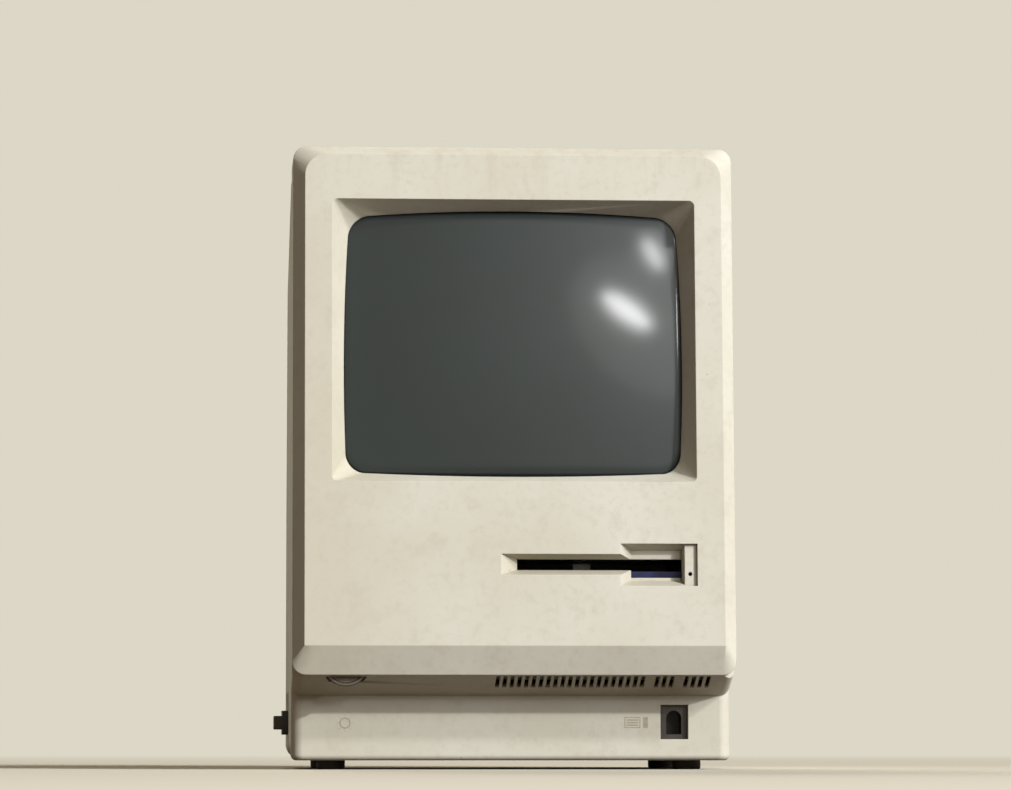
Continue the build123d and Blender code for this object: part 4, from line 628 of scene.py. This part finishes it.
# The frame's front spreads from the mouth to the moulding's sides, which then run straight back.
body_edges = bmesh.ops.extrude_edge_only(jack, edges=jack.edges[:])["geom"]
body_verts = [g for g in body_edges if isinstance(g, bmesh.types.BMVert)]
side, over = (jack_high.x - jack_low.x) / 2 / MM, jack_high.z / MM - MOUTH_SPRING
under = MOUTH_SPRING - jack_low.z / MM
for vert in body_verts:
    x, y = squared(vert.co)
    vert.co = (x * side, y * (over if y > 0 else under), 0)
for vert in mouth_edge:
    x, y = squared(vert.co) if vert.co.y < 0 else vert.co.xy
    vert.co = (x * MOUTH_HALF, y * (MOUTH_HALF if y > 0 else MOUTH_DROP), 0)
body_edges = [g for g in body_edges if isinstance(g, bmesh.types.BMEdge)]
back = bmesh.ops.extrude_edge_only(jack, edges=body_edges)["geom"]
bmesh.ops.translate(jack, vec=(0, 0, -(jack_high.y - jack_low.y) / MM),
                    verts=[g for g in back if isinstance(g, bmesh.types.BMVert)])
bmesh.ops.edgeloop_fill(jack, edges=[g for g in back if isinstance(g, bmesh.types.BMEdge)])
bmesh.ops.recalc_face_normals(jack, faces=jack.faces[:])
bmesh.ops.transform(jack, verts=jack.verts, matrix=facing_front(
    JACK_X, (jack_low.y - bezel_low.y) / MM, MOUTH_SPRING))
frame_faces = set(jack.faces) - set(mouth)
sink(jack, mouth, MOUTH_LIP, MOUTH_DEPTH, (0, 1, 0), 1)
for face in set(jack.faces) - frame_faces:
    face.material_index = 1
put(jack, "jack_socket", "case", [jack_brown, black_nylon], ["keyboard_jack"], 35)

# ---- Programmer's switch ----
# Two push buttons in a small frame, which is clipped in the vents of the left side. All are moulded ABS,
# the buttons brown-grey and the frame darker.
switch_abs = worked_surface("brown_grey_abs", "645E51", "565045", 9.0, 0.5, 0.4, 0.03)
frame_abs = worked_surface("dark_grey_abs", "34312D", "282623", 9.0, 0.5, 0.4, 0.03)
softened("switch_frame", 0.3, [frame_abs])
softened("reset_button", 0.6, [switch_abs])
softened("interrupt_button", 0.6, [switch_abs])

# ---- Mains parts ----
# A rocker switch and a three-pin inlet that snap into the back wall, both of black nylon. The pins are
# stamped brass.
softened("mains_inlet", 0.3, [black_nylon])
softened("power_switch", 0.3, [black_nylon])
softened("power_rocker", 0.4, [black_nylon])
dress(worked_surface("stamped_brass", "D9BE7C", "C2A662", 3.0, 0.28, 0.3, 0.01, Metallic=1.0), "inlet_pins")

# ---- Ports ----
# D-shaped shells of drawn, nickel-plated steel round a black insulator with two rows of contact holes.
# A hexagonal post at each end takes the plug's screw.
nickel = worked_surface("nickel_plate", "D2CFC6", "BDBAB1", 4.0, 0.24, 0.35, 0.01, Metallic=1.0)
SHELL_WALL, SHELL_LIP, PIN_PITCH, ROW_PITCH, PIN_HOLE, PIN_DEPTH = 0.7, 0.5, 2.77, 2.84, 1.0, 3.0
PIN_LIP, POST_WALL, POST_DEPTH, CLOSE = 0.05, 1.1, 3.0, 0.1 * MM
for name, upper_row in (("mouse_port", 5), ("drive_port", 10), ("printer_port", 5), ("modem_port", 5)):
    form = cad_form(name)
    low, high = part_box(name)
    mouth = [f for f in form.faces if f.normal.y > 0.99 and f.calc_center_median().y > high.y - CLOSE]
    floor = sink(form, mouth, SHELL_WALL, SHELL_LIP, (0, -1, 0), 1)
    centre = floor[0].calc_center_median()
    centre.z = (max(v.co.z for v in floor[0].verts) + min(v.co.z for v in floor[0].verts)) / 2
    holes = [Vector(((i - (count - 1) / 2) * PIN_PITCH * MM, 0, side * ROW_PITCH / 2 * MM)) + centre
             for count, side in ((upper_row, 1), (upper_row - 1, -1)) for i in range(count)]
    cuts = {(0, round(h.x + side * PIN_HOLE / 2 * MM, 6)) for h in holes for side in (-1, 1)}
    cuts |= {(2, round(h.z + side * PIN_HOLE / 2 * MM, 6)) for h in holes for side in (-1, 1)}
    for axis, at in sorted(cuts):
        cells = [f for f in form.faces if f.material_index == 1]
        cells += list({e for f in cells for e in f.edges}) + list({v for f in cells for v in f.verts})
        place, turned = [0, 0, 0], [0, 0, 0]
        place[axis], turned[axis] = at, 1
        bmesh.ops.bisect_plane(form, geom=cells, dist=0.001 * MM, plane_co=place, plane_no=turned)
    wells = [f for f in form.faces if f.material_index == 1
             and any((f.calc_center_median() - h).length < CLOSE for h in holes)]
    sink(form, wells, PIN_LIP, PIN_DEPTH, (0, -1, 0))
    put(form, name + "_shell", "case", [nickel, black_nylon], [name], 30)
form = cad_form("port_posts")
sink(form, [f for f in form.faces if f.normal.y > 0.99], POST_WALL, POST_DEPTH, (0, -1, 0))
round_edges(form, 0.15, 2)
put(form, "jack_posts", "case", [nickel], ["port_posts"], 30)
dress(black_nylon, "audio_jack")

# ---- Feet ----
# Four moulded pads of black rubber, glued into the base. The rubber is matt, and dust has dulled it to a
# warm dark grey.
softened("rubber_feet", 0.5, [worked_surface("black_rubber", "4E4640", "3E3833", 6.0, 0.75, 0.5, 0.05)])

# ---- Camera ----
# Low, just above the table, and a little to the left of straight ahead. It looks slightly upwards through
# a long lens, which keeps the front nearly square.
camera_data = bpy.data.cameras.new("camera")
camera = bpy.data.objects.new("camera", camera_data)
bpy.context.scene.collection.objects.link(camera)
bpy.context.scene.camera = camera
camera_data.sensor_width = 36.0
camera_data.lens = 167.9
camera_data.clip_start, camera_data.clip_end = 0.1, 200.0
distance, yaw, pitch = 2.6, math.radians(3.64), math.radians(4.23)
aim = Vector((-1.24, -126.75, 205.97)) * MM
ahead = Vector((math.sin(yaw) * math.cos(pitch), math.cos(yaw) * math.cos(pitch), math.sin(pitch)))
camera.location = aim - ahead * distance
camera.rotation_mode = "QUATERNION"
camera.rotation_quaternion = ahead.to_track_quat("-Z", "Y")

# ---- Floor ----
# A pale sheet that the computer stands on and that runs back into the room. Near the object it takes
# the shadow; further out it turns into the room's own colour. Light that it throws back is held low.
ROOM, FLOOR_RADIUS = "DCD7C6", 60.0
floor_mesh = bpy.data.meshes.new("floor")
disc = bmesh.new()
bmesh.ops.create_circle(disc, cap_ends=True, segments=96, radius=FLOOR_RADIUS)
disc.to_mesh(floor_mesh)
disc.free()
floor = bpy.data.objects.new("floor", floor_mesh)
bpy.context.scene.collection.objects.link(floor)
floor_paint = bpy.data.materials.new("floor_paint")
floor_paint.use_nodes = True
tree = floor_paint.node_tree
tree.nodes.clear()


def seen_directly(tree):
    """1 for rays that show a surface to the eye, straight, in a gloss or through glass."""
    ray = add_node(tree, "LightPath").outputs
    either = add_node(tree, "Math", links={0: ray["Is Camera Ray"], 1: ray["Is Glossy Ray"]},
                      operation="MAXIMUM")
    return add_node(tree, "Math", links={0: either.outputs[0], 1: ray["Is Transmission Ray"]},
                    operation="MAXIMUM").outputs[0]


place = add_node(tree, "TexCoord").outputs["Object"]
out = add_node(tree, "VectorMath", links={0: place}, operation="LENGTH").outputs["Value"]
paint = add_node(tree, "BsdfDiffuse", {"Color": linear("DDD8C8")}).outputs[0]
room = add_node(tree, "Emission", {"Color": linear(ROOM), "Strength": 1.0}).outputs[0]
pale = add_node(tree, "MixShader", links={0: span(tree, out, 0.5, 3.0), 1: paint, 2: room}).outputs[0]
dim = add_node(tree, "BsdfDiffuse", {"Color": linear("4E4034")}).outputs[0]
surface = add_node(tree, "MixShader", links={0: seen_directly(tree), 1: dim, 2: pale}).outputs[0]
add_node(tree, "OutputMaterial", links={"Surface": surface})
floor_mesh.materials.append(floor_paint)

# ---- Room and lamps ----
# The same pale colour behind everything and a dim warm light from all round. The windows are three suns
# to the right, the light off the wall behind is a fourth, and five panes stand where the glass mirrors.
world = bpy.data.worlds.new("room")
bpy.context.scene.world = world
world.use_nodes = True
tree = world.node_tree
tree.nodes.clear()
wall = add_node(tree, "Background", {"Color": linear(ROOM), "Strength": 1.0}).outputs[0]
fill = add_node(tree, "Background", {"Color": linear("F0CCA8"), "Strength": 0.112}).outputs[0]
mixed = add_node(tree, "MixShader", links={0: seen_directly(tree), 1: fill, 2: wall}).outputs[0]
add_node(tree, "OutputWorld", links={"Surface": mixed})
screen_centre = screen_frame.translation


def lamp(name, kind, azimuth, elevation, **settings):
    """A lamp in a direction from the screen, in degrees to the right of straight ahead and above."""
    data = bpy.data.lights.new(name, kind)
    distance, turn = settings.pop("distance", 0.0), settings.pop("turn", 0.0)
    for key, value in settings.items():
        setattr(data, key, value)
    placed = bpy.data.objects.new(name, data)
    a, e = math.radians(azimuth), math.radians(elevation)
    toward = Vector((math.sin(a) * math.cos(e), -math.cos(a) * math.cos(e), math.sin(e)))
    placed.location = screen_centre + toward * distance
    placed.rotation_mode = "QUATERNION"
    placed.rotation_quaternion = (toward.to_track_quat("Z", "Y").to_matrix()
                                  @ Matrix.Rotation(math.radians(turn), 3, "Z")).to_quaternion()
    bpy.context.scene.collection.objects.link(placed)


lamp("foot_window", "SUN", 44, 14, energy=0.3, angle=math.radians(3))
lamp("low_window", "SUN", 46, 25, energy=1.82, angle=math.radians(2))
lamp("high_window", "SUN", 49, 37, energy=1.1, angle=math.radians(4))
lamp("back_wall", "SUN", 190, 35, energy=1.0, angle=math.radians(20), color=linear("FFF6E6")[:3])
lamp("pane_main", "AREA", 18.2, 18.9, distance=3.0, turn=-38, shape="ELLIPSE", size=0.36, size_y=0.12,
     energy=7.2)
lamp("pane_high", "AREA", 22.4, 25.6, distance=3.0, turn=-70, shape="ELLIPSE", size=0.22, size_y=0.09,
     energy=2.6)
lamp("pane_edge", "AREA", 38.0, 17.0, distance=3.0, shape="ELLIPSE", size=0.25, size_y=0.4, energy=9.0)
lamp("pane_corner", "AREA", 38.0, 27.0, distance=3.0, shape="ELLIPSE", size=0.4, size_y=0.2, energy=9.0)
lamp("pane_wide", "AREA", 20.0, 17.0, distance=3.2, turn=-45, shape="ELLIPSE", size=1.1, size_y=0.8,
     energy=4.0)

bpy.context.scene.view_settings.view_transform = "Standard"
